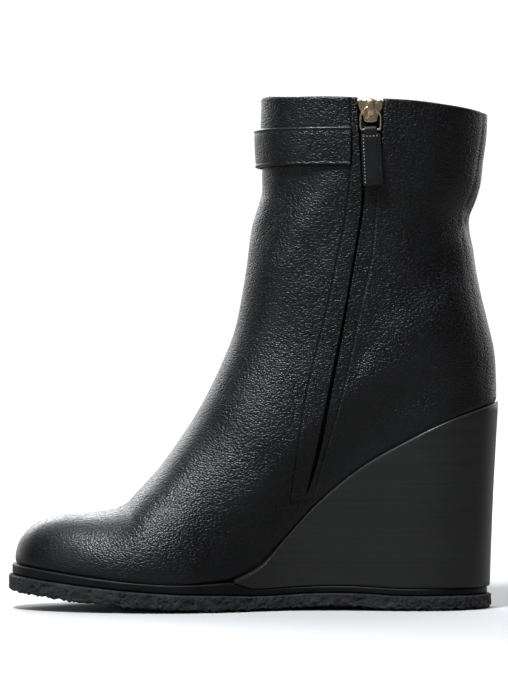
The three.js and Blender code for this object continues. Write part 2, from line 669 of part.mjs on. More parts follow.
// The ring: a wire bent to an arch, narrow under the bridge, wide through the tab's loop
function ringGeometry() {
  const neck = (RING_NECK - WIRE) / 2;
  const half = (RING_WIDTH - WIRE) / 2;
  const drop = RING_LENGTH - WIRE;
  const path = new THREE.CatmullRomCurve3([
    [-neck * 0.7, 0], [neck * 0.7, 0], [neck + WIRE / 2, -0.6 * WIRE], [half * 0.96, -drop * 0.34],
    [half, -drop * 0.72], [half * 0.92, -drop * 0.97], [half * 0.6, -drop], [-half * 0.6, -drop],
    [-half * 0.92, -drop * 0.97], [-half, -drop * 0.72], [-half * 0.96, -drop * 0.34],
    [-neck - WIRE / 2, -0.6 * WIRE],
  ].map(([x, z]) => new THREE.Vector3(x, 0, z)), true, 'centripetal');
  const count = 44;
  const sides = 8;
  const points = [];
  const triangles = [];
  const out = new THREE.Vector3(0, -1, 0);
  for (let i = 0; i < count; i += 1) {
    const centre = path.getPointAt(i / count);
    const across = path.getTangentAt(i / count).cross(out).normalize();
    for (let k = 0; k < sides; k += 1) {
      const turn = (2 * Math.PI * k) / sides;
      const point = centre.clone();
      point.addScaledVector(across, (Math.cos(turn) * WIRE) / 2);
      point.addScaledVector(out, (Math.sin(turn) * WIRE) / 2);
      points.push(point.add(new THREE.Vector3(SLIDER_X, -PIN_HEIGHT, PIN_Z)));
      const next = (i + 1) % count;
      const side = (k + 1) % sides;
      const [a, b, c, d] = [i * sides + k, next * sides + k, next * sides + side, i * sides + side];
      triangles.push([a, b, c], [a, c, d]);
    }
  }
  return closedMesh(points, triangles);
}

// The tab: leather folded round the ring's lower bar, drawn from the side and extruded across
function tabGeometry() {
  const hole = WIRE / 2 + CLEARANCE;
  const half = TAB_THICKNESS / 2;
  const neck = TAB_LOOP / 2;
  const shape = new THREE.Shape();
  shape.absarc(0, 0, half * 1.16, -0.15 * Math.PI, 1.15 * Math.PI, false);
  shape.lineTo(-half, -neck);
  shape.lineTo(-half, neck - TAB_LENGTH);
  shape.lineTo(half, neck - TAB_LENGTH);
  shape.lineTo(half, -neck);
  const bore = new THREE.Path();
  bore.absarc(0, 0, hole, 0, 2 * Math.PI, true);
  shape.holes.push(bore);
  const geometry = extrude(shape, TAB_WIDTH * 0.62, 9);
  geometry.translate(0, 0, -TAB_WIDTH * 0.31);
  const loop = toSolid(geometry);
  const plate = new THREE.Shape();
  const low = neck - TAB_LENGTH;
  plate.moveTo(-half, -neck);
  plate.lineTo(-half, low);
  plate.lineTo(half, low);
  plate.lineTo(half, -neck);
  const wide = extrude(plate, TAB_WIDTH, 1);
  wide.translate(0, 0, -TAB_WIDTH / 2);
  const tab = toGeometry(loop.add(toSolid(wide)));
  const out = new THREE.Vector3(0, -1, 0);
  const up = new THREE.Vector3(0, 0, 1);
  tab.applyMatrix4(new THREE.Matrix4().makeBasis(out, up, new THREE.Vector3(-1, 0, 0)));
  tab.rotateY(THREE.MathUtils.degToRad(-TAB_TILT));
  tab.translate(SLIDER_X, -PIN_HEIGHT, PIN_Z - (RING_LENGTH - WIRE));
  return tab;
}

// The strap: a band round the front of the shaft, ending at the facing's seam on each side
function strapGeometry() {
  const columns = 32;
  const top = BOOT_HEIGHT - STRAP_BELOW_COLLAR;
  const rows = [0, 0.12, 0.5, 0.88, 1];
  const rings = [];
  for (let column = 0; column <= columns; column += 1) {
    const turn = 2 * (column / columns) - 1;
    const outside = [];
    const inside = [];
    rows.forEach((row) => {
      const z = top - STRAP_HEIGHT * (1 - row);
      const startX = pointByValue(front.points, frontStations, stationOf(0, z)).x;
      const endX = placeAlong(facingFront(slitShare(z))) - CLEARANCE;
      const depth = backX(z) - startX;
      const widest = Math.acos(1 - (2 * (endX - startX)) / depth);
      const place = (angle) => {
        const x = startX + (depth * (1 - Math.cos(angle))) / 2;
        const section = sectionAt(x, z);
        const side = angle >= 0 ? -1 : 1;
        return new THREE.Vector3(x, section.middle + side * section.half, z);
      };
      const angle = turn * widest;
      const around = place(angle + 0.02).sub(place(angle - 0.02));
      const normal = new THREE.Vector3(-around.y, around.x, 0).normalize().negate();
      const nose = smooth(2.2 * (1 - Math.abs(turn)));
      const gap = CLEARANCE + STRAP_STANDOFF * nose;
      const bulge = Math.sin(Math.PI * THREE.MathUtils.clamp(row, 0.12, 0.88)) ** 0.4;
      const thick = STRAP_THICKNESS * mix(0.55, 1, nose) * bulge;
      outside.push(place(angle).addScaledVector(normal, gap + thick));
      inside.push(place(angle).addScaledVector(normal, gap));
    });
    rings.push(outside.concat(inside.reverse()));
  }
  return stackedRings(rings);
}

// Materials
const blackLeather = { color: 0x15161a, roughness: 0.5, metalness: 0 };
const materials = {
  outsole: { color: 0x242426, roughness: 0.95, metalness: 0 },
  midsole: { color: 0x1c1c1e, roughness: 0.6, metalness: 0 },
  wedge: { color: 0x232325, roughness: 0.35, metalness: 0 },
  insole: { color: 0x2a2624, roughness: 0.9, metalness: 0 },
  upper: blackLeather,
  strap: { color: 0x17181c, roughness: 0.45, metalness: 0 },
  zip_tape: { color: 0x0d0d0e, roughness: 0.9, metalness: 0 },
  zip_chain: { color: 0x131314, roughness: 0.5, metalness: 0 },
  zip_slider: { color: 0xb08d4a, roughness: 0.3, metalness: 1 },
  pull_ring: { color: 0xb08d4a, roughness: 0.3, metalness: 1 },
  pull_tab: blackLeather,
};
const geometries = {
  outsole: outsoleGeometry,
  midsole: midsoleGeometry,
  wedge: wedgeGeometry,
  insole: insoleGeometry,
  upper: upperGeometry,
  strap: strapGeometry,
  zip_tape: () => ribbon(tapeOffsets, TAPE_DEPTH, TAPE_THICKNESS),
  zip_chain: () => ribbon(chainOffsets, CHAIN_DEPTH, CHAIN_THICKNESS),
  zip_slider: sliderGeometry,
  pull_ring: ringGeometry,
  pull_tab: tabGeometry,
};

const group = new THREE.Group();
Object.entries(geometries).forEach(([name, make]) => {
  const mesh = new THREE.Mesh(make(), new THREE.MeshStandardMaterial(materials[name]));
  mesh.name = name;
  group.add(mesh);
});

export default group;
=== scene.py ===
"""A black ankle boot on a tall stacked wedge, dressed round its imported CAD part.

Lengths inside this script are millimetres until put_mesh() writes them in metres.
The toe points to -X, the inner side with the zip faces -Y, and the ground is z = 0.
"""

import math

import bpy
import numpy as np
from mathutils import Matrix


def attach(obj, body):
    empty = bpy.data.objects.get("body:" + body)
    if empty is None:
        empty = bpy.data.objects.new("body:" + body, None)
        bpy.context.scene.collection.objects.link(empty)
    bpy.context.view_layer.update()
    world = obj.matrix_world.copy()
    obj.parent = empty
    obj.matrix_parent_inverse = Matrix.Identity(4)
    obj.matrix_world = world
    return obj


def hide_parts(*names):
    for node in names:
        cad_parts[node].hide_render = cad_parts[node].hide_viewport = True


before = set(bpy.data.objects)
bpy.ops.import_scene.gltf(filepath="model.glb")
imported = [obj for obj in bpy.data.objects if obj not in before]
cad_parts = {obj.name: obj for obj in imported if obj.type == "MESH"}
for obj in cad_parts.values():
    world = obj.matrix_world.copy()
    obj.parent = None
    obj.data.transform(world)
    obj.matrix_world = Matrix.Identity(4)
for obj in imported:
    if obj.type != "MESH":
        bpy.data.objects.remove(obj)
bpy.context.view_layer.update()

MM = 0.001

# Sizes of the boot, the same as the CAD part's, in mm and in shares of BOOT_LENGTH
BOOT_LENGTH = 237.2
BOOT_HEIGHT = 247.2
COLLAR_DROP = 8.6
HEEL_HEIGHT = 100.4
BALL_WIDTH = 88.0
SHAFT_WIDTH = 69.0
SHAFT_LENGTH = 108.0
TOE_SPRING = 8.6
SPRING_END = 0.4
SPRING_POWER = 1.5
ARCH_RISE = 1.3
CREPE_THICKNESS = 8.3
CREPE_HEEL_THICKNESS = 7.1
MIDSOLE_THICKNESS = 4.8
MIDSOLE_HEEL_THICKNESS = 3.0
MIDSOLE_EDGE = 2.0
HEEL_UNDERCUT = 3.4
WEDGE_LIP = 0.8
WEDGE_START = 0.462
LEDGE_SLOPE = 0.5
WALL = 2.0
TOE_EDGE = 3.4
HEEL_EDGE = 0.8
STRAP_HEIGHT = 18.6
STRAP_THICKNESS = 2.2
STRAP_STANDOFF = 0.8
STRAP_BELOW_COLLAR = 16.0
SLIT_WIDTH = 12.2
SLIT_FOOT = 54.0
ZIP_BELOW_COLLAR = 4.0
SLIDER_LENGTH = 11.6
CLEARANCE = 0.3
SEAT_GAP = 0.42
TOE_POWER = 2.3
SIDE_POWER = 2.15
TOE_ROUND = 0.26
HEEL_ROUND = 0.19
SAMPLES = 400
NEAR_LINE = 0.1

# Changes along the boot: from which share of its length, and over which share
ARCH_FRONT = (0.49, 0.17)
ARCH_REAR = (0.82, -0.14)
CREPE_THINS = (0.38, 0.16)
MIDSOLE_DROPS = (0.43, 0.07)

# The foot's plan gives way to the shaft's section over this share of SHAFT_WIDTH and of a station
SHAFT_BLEND = 0.62
STATION_BLEND = 0.4

# Reach of the heel's rounding at the foot and up the shaft, in shares of SHAFT_LENGTH
HEEL_REACH = (0.42, 0.5)
HEEL_REACH_STATION = 0.9

# Tables: "along" is a share of BOOT_LENGTH from the toe
FRONT_ROWS = [
    # along, rise: share of the way from the feather at the toe to BOOT_HEIGHT
    [0.0154, 0], [0.0161, 0.018], [0.0196, 0.037], [0.0267, 0.052], [0.0398, 0.069], [0.0575, 0.085],
    [0.089, 0.0975], [0.13, 0.1052], [0.18, 0.1092], [0.214, 0.1158], [0.24, 0.1269], [0.2635, 0.153],
    [0.306, 0.2015], [0.353, 0.27], [0.4025, 0.356], [0.4345, 0.4257], [0.4615, 0.4984],
    [0.4755, 0.5677], [0.486, 0.6365], [0.499, 0.731], [0.5088, 0.7638], [0.5165, 0.7914],
    [0.5175, 0.826], [0.5143, 0.9144], [0.516, 1],
]
BACK_ROWS = [
    # rise: share of the way from HEEL_HEIGHT to the collar's back, along
    [0, 0.9966], [0.08, 0.9955], [0.165, 0.9925], [0.28, 0.978], [0.365, 0.9655], [0.45, 0.956],
    [0.535, 0.95], [0.6, 0.9445], [0.64, 0.945], [0.69, 0.955], [0.75, 0.964], [0.83, 0.969],
    [0.92, 0.9755], [1, 0.9775],
]
COLLAR_ROWS = [
    # share of the collar's length from the front, drop: share of COLLAR_DROP
    [0, 0], [0.08, 0.12], [0.3, 0.2], [0.5, 0.32], [0.67, 0.43], [0.79, 0.6], [0.89, 0.76], [1, 1],
]
HEEL_RISE_ROWS = [
    # along, rise of the upper's bottom line: share of the way from the midsole to HEEL_HEIGHT
    [0, 0], [0.4, 0], [0.44, 0.008], [0.475, 0.038], [0.5, 0.074], [0.527, 0.129], [0.553, 0.21],
    [0.5875, 0.318], [0.626, 0.43], [0.677, 0.554], [0.716, 0.636], [0.758, 0.709], [0.808, 0.783],
    [0.844, 0.835], [0.886, 0.888], [0.948, 0.95], [1, 1],
]
SOLE_PLAN_ROWS = [
    # along, inner half and outer half: shares of BALL_WIDTH, before the toe and heel are rounded
    [0, 0.42, 0.34], [0.1, 0.445, 0.375], [0.2, 0.485, 0.42], [0.3, 0.511, 0.465], [0.37, 0.503, 0.5],
    [0.45, 0.44, 0.508], [0.5, 0.37, 0.485], [0.55, 0.315, 0.45], [0.6, 0.288, 0.415],
    [0.7, 0.29, 0.362], [0.8, 0.325, 0.345], [0.9, 0.345, 0.342], [1, 0.345, 0.34],
]
UPPER_PLAN_ROWS = [
    # along, inner half and outer half of the upper's bottom line: shares of BALL_WIDTH
    [0, 0.385, 0.305], [0.1, 0.415, 0.345], [0.2, 0.456, 0.392], [0.3, 0.492, 0.437],
    [0.37, 0.475, 0.472], [0.45, 0.385, 0.475], [0.5, 0.312, 0.452], [0.55, 0.272, 0.416],
    [0.6, 0.26, 0.382], [0.7, 0.277, 0.345], [0.8, 0.313, 0.334], [0.9, 0.336, 0.333],
    [1, 0.336, 0.331],
]
SHAFT_ROWS = [
    # station: 0 at the vamp, 1 at the ankle, 2 at the collar; half width: share of SHAFT_WIDTH;
    # reach: share of the section over which the front is rounded
    [0, 0.54, 1], [0.15, 0.535, 0.86], [0.3, 0.52, 0.76], [0.5, 0.492, 0.66], [0.67, 0.468, 0.56],
    [0.83, 0.46, 0.46], [1, 0.457, 0.46], [1.35, 0.452, 0.48], [1.65, 0.478, 0.5], [2, 0.5, 0.5],
]
SLIT_ROWS = [
    # rise: share of the way from SLIT_FOOT to BOOT_HEIGHT; along: the slit's front edge;
    # open: share of SLIT_WIDTH; seam: along, the front facing's seam; rear seam: along
    [0, 0.606, 0, 0.576, 0.6214], [0.065, 0.6175, 0.12, 0.583, 0.6345],
    [0.267, 0.651, 0.14, 0.6085, 0.681], [0.48, 0.685, 0.1, 0.6505, 0.7175],
    [0.6, 0.7015, 0.09, 0.6705, 0.7385], [0.66, 0.7095, 0.1, 0.681, 0.7428],
    [0.72, 0.7165, 0.1, 0.6885, 0.7465], [0.78, 0.7175, 0.17, 0.6938, 0.7495],
    [0.84, 0.7145, 0.52, 0.6958, 0.753], [0.9, 0.711, 0.88, 0.6965, 0.7565],
    [0.95, 0.709, 0.99, 0.6955, 0.7605], [1, 0.708, 1, 0.694, 0.765],
]


# Numbers and curves

def through(rows, column):
    """Cubic through a table's rows; each slope is that of the parabola through its neighbours."""
    table = np.array(rows, float)
    keys = table[:, 0]
    values = table[:, column]
    steps = np.diff(keys)
    rises = np.diff(values) / steps
    slopes = np.empty(len(keys))
    slopes[0] = rises[0]
    slopes[-1] = rises[-1]
    slopes[1:-1] = (steps[:-1] * rises[1:] + steps[1:] * rises[:-1]) / (steps[:-1] + steps[1:])

    def curve(key):
        """The cubic's value at a key, held to the table's ends."""
        held = np.clip(key, keys[0], keys[-1])
        i = np.clip(np.searchsorted(keys, held) - 1, 0, len(steps) - 1)
        s = (held - keys[i]) / steps[i]
        bend = s * (1 - s) * ((1 - s) * (slopes[i] - rises[i]) - s * (slopes[i + 1] - rises[i]))
        return values[i] + (values[i + 1] - values[i]) * s + bend * steps[i]

    return curve


def mix(low, high, share):
    """The value a share of the way from low to high."""
    return low + (high - low) * share


def smooth(value):
    """Smoothstep: 0 below 0, 1 above 1, level at both ends."""
    held = np.clip(value, 0.0, 1.0)
    return held * held * (3 - 2 * held)


def ramp(value, start, run):
    """Smoothstep from 0 at the start to 1 a run further; a negative run leads the other way."""
    return smooth((value - start) / run)


def place_along(share):
    """X of a share of the boot's length from the toe."""
    return (share - 0.5) * BOOT_LENGTH


def share_along(x):
    """Share of the boot's length from the toe, at X."""
    return x / BOOT_LENGTH + 0.5


def round_off(share, power):
    """Superellipse quarter: 0 at share 0, 1 from share 1 on."""
    left = np.clip(1 - share, 0.0, 1.0)
    return (1 - left**power) ** (1 / power)


def run_lengths(line):
    """Length of the line from its start to each of its points."""
    return np.concatenate([[0.0], np.cumsum(np.linalg.norm(np.diff(line, axis=0), axis=1))])


def row_line(points):
    """A curve through the points, sampled evenly along the chords between them."""
    points = np.array(points, float)
    chords = run_lengths(points)
    keyed = np.column_stack([chords, points])
    at = np.linspace(0, chords[-1], SAMPLES + 1)
    return np.column_stack([through(keyed, 1)(at), through(keyed, 2)(at)])


def read_by(keys, line):
    """Reads a line's points by a rising key, as whole arrays."""
    def read(key):
        return np.stack([np.interp(key, keys, line[:, 0]), np.interp(key, keys, line[:, 1])], -1)

    return read


def walk(line):
    """Reads a line by the share of its length."""
    lengths = run_lengths(line)
    return read_by(lengths / lengths[-1], line)


def lattice_noise(points, cell, seed):
    """Smooth noise from -1 to 1: random values at cube corners a cell apart, blended by smoothstep."""
    size = 32
    values = np.random.default_rng(seed).uniform(-1, 1, (size, size, size))
    place = np.asarray(points, float) / cell
    base = np.floor(place).astype(int)
    part = place - base
    part = part * part * (3 - 2 * part)
    total = np.zeros(place.shape[:-1])
    for corner in range(8):
        step = np.array([corner & 1, (corner >> 1) & 1, (corner >> 2) & 1])
        weight = np.prod(np.where(step == 1, part, 1 - part), axis=-1)
        index = (base + step) % size
        total += weight * values[index[..., 0], index[..., 1], index[..., 2]]
    return total


# The boot's own form, worked out as in the CAD part

heel_rise = through(HEEL_RISE_ROWS, 1)
back_along = through(BACK_ROWS, 1)
collar_drop = through(COLLAR_ROWS, 1)
sole_inner = through(SOLE_PLAN_ROWS, 1)
sole_outer = through(SOLE_PLAN_ROWS, 2)
upper_inner = through(UPPER_PLAN_ROWS, 1)
upper_outer = through(UPPER_PLAN_ROWS, 2)
shaft_half = through(SHAFT_ROWS, 1)
front_reach = through(SHAFT_ROWS, 2)
slit_front = through(SLIT_ROWS, 1)
slit_open = through(SLIT_ROWS, 2)
seam_front = through(SLIT_ROWS, 3)
seam_rear = through(SLIT_ROWS, 4)


def toe_spring(x):
    """Rise of the sole towards the toe: a power of the way left to the spring's end."""
    return TOE_SPRING * np.maximum(0, 1 - share_along(x) / SPRING_END) ** SPRING_POWER


def sole_bottom(x):
    """Ground side of the crepe: toe spring and a shallow arch in front of the heel."""
    along = share_along(x)
    return toe_spring(x) + ARCH_RISE * ramp(along, *ARCH_FRONT) * ramp(along, *ARCH_REAR)


def crepe_top(x):
    """Top of the crepe, a little thinner under the heel."""
    thin = ramp(share_along(x), *CREPE_THINS)
    return sole_bottom(x) + mix(CREPE_THICKNESS, CREPE_HEEL_THICKNESS, thin)


def feather_height(x):
    """Line on which the upper's bottom edge lies: along the midsole, then up the wedge."""
    fore = toe_spring(x) + CREPE_THICKNESS + CLEARANCE + MIDSOLE_THICKNESS + SEAT_GAP
    return mix(fore, HEEL_HEIGHT, heel_rise(share_along(x)))


def midsole_top(x):
    """Top of the midsole: under the upper in front, under the wedge behind."""
    under = crepe_top(x) + CLEARANCE + MIDSOLE_HEEL_THICKNESS
    return mix(feather_height(x) - SEAT_GAP, under, ramp(share_along(x), *MIDSOLE_DROPS))


TOE_TIP = place_along(0) + TOE_EDGE
TOE_FEATHER = float(feather_height(TOE_TIP))
HEEL_BACK = place_along(1) - HEEL_EDGE
COLLAR_BACK = BOOT_HEIGHT - COLLAR_DROP
FRONT_TIP = place_along(FRONT_ROWS[0][0])
FRONT_TOP = place_along(FRONT_ROWS[-1][0])
FRONT_SCALE = (FRONT_TOP - TOE_TIP) / (FRONT_TOP - FRONT_TIP)
BACK_SHIFT = HEEL_BACK - place_along(BACK_ROWS[0][1])


def back_x(z):
    """X of the boot's back at a height."""
    return place_along(back_along((z - HEEL_HEIGHT) / (COLLAR_BACK - HEEL_HEIGHT))) + BACK_SHIFT


front_line = row_line([
    [FRONT_TOP + (place_along(along) - FRONT_TOP) * FRONT_SCALE, mix(TOE_FEATHER, BOOT_HEIGHT, rise)]
    for along, rise in FRONT_ROWS
])
steps = np.linspace(0, 1, SAMPLES + 1)
feather_x = mix(TOE_TIP, HEEL_BACK, steps)
feather_line = np.column_stack([feather_x, feather_height(feather_x)])
back_z = mix(feather_line[-1, 1], COLLAR_BACK, steps)
back_line = np.column_stack([back_x(back_z), back_z])
collar_x = mix(FRONT_TOP, back_line[-1, 0], steps)
collar_line = np.column_stack([collar_x, BOOT_HEIGHT - COLLAR_DROP * collar_drop(steps)])
PIVOT_X = place_along(0.228)
PIVOT_Z = mix(TOE_FEATHER, BOOT_HEIGHT, 0.563)


def station_of(x, z):
    """-1 to 0 by X over the forefoot, 0 to 1 by the ray's angle, 1 to 2 by height up the shaft."""
    upright = (x - PIVOT_X) / (PIVOT_X - TOE_TIP)
    ray = 1 - np.arctan2(PIVOT_Z - z, x - PIVOT_X) / (math.pi / 2)
    level = 1 + (z - PIVOT_Z) / (BOOT_HEIGHT - PIVOT_Z)
    return np.where(z >= PIVOT_Z, level, np.where(x <= PIVOT_X, upright, ray))


far_line = np.concatenate([feather_line, back_line[1:]])
front_at_station = read_by(station_of(front_line[:, 0], front_line[:, 1]), front_line)
far_at_station = read_by(station_of(far_line[:, 0], far_line[:, 1]), far_line)
read_front = walk(front_line)
read_back = walk(back_line)
read_feather = walk(feather_line)
read_collar = walk(collar_line)


EVENED_STATIONS = 1201
EVENING_REACH = 60
EVENING_WIDTH = 26.0
EVENED_FROM = (0.4, 0.2)


def even_lengths():
    """Section lengths by station, evened by a bell curve so that the heel's corner leaves no ridge."""
    stations = np.linspace(-1, 2, EVENED_STATIONS)
    gaps = front_at_station(stations) - far_at_station(stations)
    raw = np.hypot(gaps[:, 0], gaps[:, 1])
    away = np.arange(-EVENING_REACH, EVENING_REACH + 1)
    weights = np.exp(-((away / EVENING_WIDTH) ** 2))
    padded = np.pad(raw, EVENING_REACH, "edge")
    evened = np.convolve(padded, weights / weights.sum(), "valid")
    return stations, mix(raw, evened, ramp(stations, *EVENED_FROM))


LENGTH_STATIONS, SECTION_LENGTHS = even_lengths()


def section_at(x, z):
    """Middle and half width of the upper's outer face at a place of its side view."""
    station = station_of(x, z)
    near = front_at_station(station)
    length = np.maximum(np.interp(station, LENGTH_STATIONS, SECTION_LENGTHS), 0.01)
    run = np.hypot(x - near[..., 0], z - near[..., 1])
    along = share_along(x)
    open_inner = BALL_WIDTH * upper_inner(along)
    open_outer = BALL_WIDTH * upper_outer(along)
    toe = round_off((x - TOE_TIP) / (TOE_ROUND * BOOT_LENGTH), TOE_POWER)
    height = np.maximum(0, z - feather_height(x))
    share = smooth(height / (SHAFT_BLEND * SHAFT_WIDTH)) * smooth(station / STATION_BLEND)
    rounding = round_off(run / (front_reach(station) * length), SIDE_POWER)
    heel_reach = mix(*HEEL_REACH, smooth(station - HEEL_REACH_STATION)) * SHAFT_LENGTH
    heel = round_off((back_x(z) - x) / heel_reach, SIDE_POWER)
    foot_half = 0.5 * (open_inner + open_outer) * toe
    half = mix(foot_half, SHAFT_WIDTH * shaft_half(station), share)
    middle = 0.5 * (open_outer - open_inner) * (1 - share)
    return middle, half * rounding * heel


def side_point(t, v):
    """Coons patch in the side view: t from front to back, v from the feather to the collar.

    The front and back lines pull on the rings by the square of the nearness, so that none fold.
    """
    t = np.asarray(t)[..., None]
    v = np.asarray(v)[..., None]
    along = mix(read_feather(t[..., 0]), read_collar(t[..., 0]), v)
    start = mix(feather_line[0], collar_line[0], v)
    end = mix(feather_line[-1], collar_line[-1], v)
    lift = (read_front(v[..., 0]) - start) * (1 - t) ** 2
    push = (read_back(v[..., 0]) - end) * t**2
    return along + lift + push


def outer_point(angle, v):
    """Outer face of the upper: the angle runs round the boot, 0 to pi on the inner side.

    Close to the front and back lines the half width follows a power of the angle, as its roundings do.
    """
    angle = np.asarray(angle)
    line = np.round(angle / math.pi) * math.pi
    away = angle - line
    held = line + np.copysign(np.maximum(np.abs(away), NEAR_LINE), away)
    side = side_point((1 - np.cos(angle)) / 2, v)
    held_side = side_point((1 - np.cos(held)) / 2, v)
    middle, half = section_at(held_side[..., 0], held_side[..., 1])
    half = half * np.minimum(1.0, np.abs(away) / NEAR_LINE) ** (2 / SIDE_POWER)
    outward = np.where(np.sin(angle) >= 0, -1.0, 1.0)
    return np.stack([side[..., 0], middle + outward * half, side[..., 1]], -1)


def slit_share(z):
    """Share of the slit's height."""
    return (z - SLIT_FOOT) / (BOOT_HEIGHT - SLIT_FOOT)


def slit_front_x(z):
    """Front edge of the zip's slit."""
    return place_along(slit_front(slit_share(z)))


def slit_rear_x(z):
    """Rear edge of the zip's slit."""
    return slit_front_x(z) + SLIT_WIDTH * np.maximum(0, slit_open(slit_share(z)))


def slit_middle_x(z):
    """Middle of the zip's slit."""
    return (slit_front_x(z) + slit_rear_x(z)) / 2


def face_y(x, z, way):
    """Y of the upper's outer face: way is -1 on the inner side and 1 on the outer side."""
    middle, half = section_at(x, z)
    return middle + way * half


NORMAL_STEP = 0.5


def face_normal(x, z, way):
    """Outward normal of either side, from differences over a small step both ways."""
    step = NORMAL_STEP
    slope_x = (face_y(x + step, z, way) - face_y(x - step, z, way)) / (2 * step)
    slope_z = (face_y(x, z + step, way) - face_y(x, z - step, way)) / (2 * step)
    normal = np.stack([-way * slope_x, way * np.ones_like(slope_x), -way * slope_z], -1)
    return normal / np.linalg.norm(normal, axis=-1, keepdims=True)


def wall_point(x, z, depth):
    """A place on the inner side, sunk by a depth along the normal, or raised where it is negative."""
    base = np.stack([x, face_y(x, z, -1.0), z], -1)
    return base - face_normal(x, z, -1.0) * np.asarray(depth)[..., None]


# The angle from the front and back lines at which the true normals take over, and over which angle
TRUE_NORMALS = (0.12, 0.25)


def ring_normals(base, angle):
    """Outward normals of the upper's rings: the grid's own near the front and back lines."""
    grid = grid_normals(base)
    grid = grid * np.sign(np.sum(grid[..., 1] * base[..., 1]))
    way = np.where(np.sin(angle) >= 0, -1.0, 1.0)
    true = face_normal(base[..., 0], base[..., 2], way)
    away = np.abs(angle - np.round(angle / math.pi) * math.pi)
    return unit(mix(grid, true, ramp(away, *TRUE_NORMALS)[..., None]))


# Meshes

WELD_DISTANCE = 0.002


def unit(vector):
    """Vectors of length 1."""
    return vector / np.maximum(np.linalg.norm(vector, axis=-1, keepdims=True), 1e-9)


def crumbled(points, crumbs):
    """Sum of noises, each given as (cell in mm, height in mm, seed)."""
    return sum(lattice_noise(points, cell, seed) * height for cell, height, seed in crumbs)


def grid_quads(rows, columns, first=0, closed=False):
    """Quads of a grid of points, rows by columns; closed joins the last column to the first."""
    across = columns if closed else columns - 1
    i, j = np.meshgrid(np.arange(rows - 1), np.arange(across), indexing="ij")
    after = (j + 1) % columns
    quads = [i * columns + j, i * columns + after, (i + 1) * columns + after, (i + 1) * columns + j]
    return np.stack(quads, -1).reshape(-1, 4) + first


def fan_strip(fine, coarse, marks, flip):
    """Triangles between a fine row of points and a coarse one whose points lie at fine places marks."""
    fine = np.asarray(fine)
    coarse = np.asarray(coarse)
    marks = np.asarray(marks, float)
    turns = np.ceil((marks[:-1] + marks[1:]) / 2 - 0.5).astype(int)
    segment = np.arange(len(fine) - 1)
    nearest = np.searchsorted(turns, segment, side="right")
    first = np.column_stack([fine[:-1], fine[1:], coarse[nearest]])
    second = np.column_stack([fine[turns], coarse[1:], coarse[:-1]])
    strip = np.concatenate([first, second])
    return strip[:, ::-1] if flip else strip


def two_skins(fine, coarse, row_places, column_places, side_rows=slice(None), side_marks=slice(None)):
    """A fine face with a coarser one behind it, joined by strips along all four edges.

    The places are where the coarse rows and columns meet the fine ones. The strips at both ends run
    along side_rows of the fine face and side_marks of the coarse one.
    """
    front = np.arange(fine[..., 0].size).reshape(fine.shape[:2])
    behind = np.arange(coarse[..., 0].size).reshape(coarse.shape[:2]) + front.size
    points = np.concatenate([fine.reshape(-1, 3), coarse.reshape(-1, 3)])
    quads = np.concatenate([grid_quads(*front.shape), grid_quads(*behind.shape, front.size)[:, ::-1]])
    triangles = np.concatenate([
        fan_strip(front[0], behind[0], column_places, True),
        fan_strip(front[-1], behind[-1], column_places, False),
        fan_strip(front[side_rows, 0], behind[side_marks, 0], row_places, False),
        fan_strip(front[side_rows, -1], behind[side_marks, -1], row_places, True),
    ])
    return points, quads, triangles


def weld(points, quads, triangles):
    """Joins points at the same place, and drops what that leaves without an area."""
    keys = np.round(points / WELD_DISTANCE).astype(np.int64)
    _, kept, back = np.unique(keys, axis=0, return_index=True, return_inverse=True)
    back = back.reshape(-1)
    quads = back[quads]
    triangles = back[triangles] if len(triangles) else np.zeros((0, 3), int)
    pairs = [(0, 1), (1, 2), (2, 3), (3, 0), (0, 2), (1, 3)]
    flat = np.any([quads[:, a] == quads[:, b] for a, b in pairs], axis=0)
    split = np.concatenate([quads[flat][:, [0, 1, 2]], quads[flat][:, [0, 2, 3]], triangles])
    pairs = [(0, 1), (1, 2), (2, 0)]
    thin = np.any([split[:, a] == split[:, b] for a, b in pairs], axis=0)
    return points[kept], quads[~flat], split[~thin], kept


def enclosed_volume(points, quads, triangles):
    """Six times the volume that the faces enclose, positive where they face outwards."""
    corners = np.concatenate([quads[:, [0, 1, 2]], quads[:, [0, 2, 3]], triangles])
    a, b, c = (points[corners[:, k]] for k in range(3))
    return np.einsum("ij,ij->", a, np.cross(b, c))


def put_mesh(name, points, quads, triangles, material, body, replaces=(), marks=None):
    """Makes one smooth, welded, outward-facing piece of the boot from arrays in millimetres."""
    points = np.asarray(points, float).reshape(-1, 3)
    quads = np.asarray(quads, int).reshape(-1, 4)
    triangles = np.asarray(triangles, int).reshape(-1, 3)
    points, quads, triangles, kept = weld(points, quads, triangles)
    if enclosed_volume(points, quads, triangles) < 0:
        quads = quads[:, ::-1]
        triangles = triangles[:, ::-1]
    mesh = bpy.data.meshes.new(name)
    mesh.vertices.add(len(points))
    mesh.vertices.foreach_set("co", (points * MM).astype(np.float32).ravel())
    corners = np.concatenate([quads.ravel(), triangles.ravel()]).astype(np.int32)
    counts = np.concatenate([np.full(len(quads), 4), np.full(len(triangles), 3)])
    starts = np.concatenate([[0], np.cumsum(counts)[:-1]]).astype(np.int32)
    mesh.loops.add(len(corners))
    mesh.loops.foreach_set("vertex_index", corners)
    mesh.polygons.add(len(counts))
    mesh.polygons.foreach_set("loop_start", starts)
    mesh.polygons.foreach_set("use_smooth", np.ones(len(counts), bool))
    mesh.update(calc_edges=True)
    for mark, values in (marks or {}).items():
        attribute = mesh.attributes.new(mark, "FLOAT", "POINT")
        attribute.data.foreach_set("value", np.asarray(values).reshape(-1)[kept].astype(np.float32))
    mesh.validate()
    mesh.materials.append(material)
    piece = bpy.data.objects.new(name, mesh)
    bpy.context.scene.collection.objects.link(piece)
    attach(piece, body)
    if replaces:
        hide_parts(*replaces)
    return piece


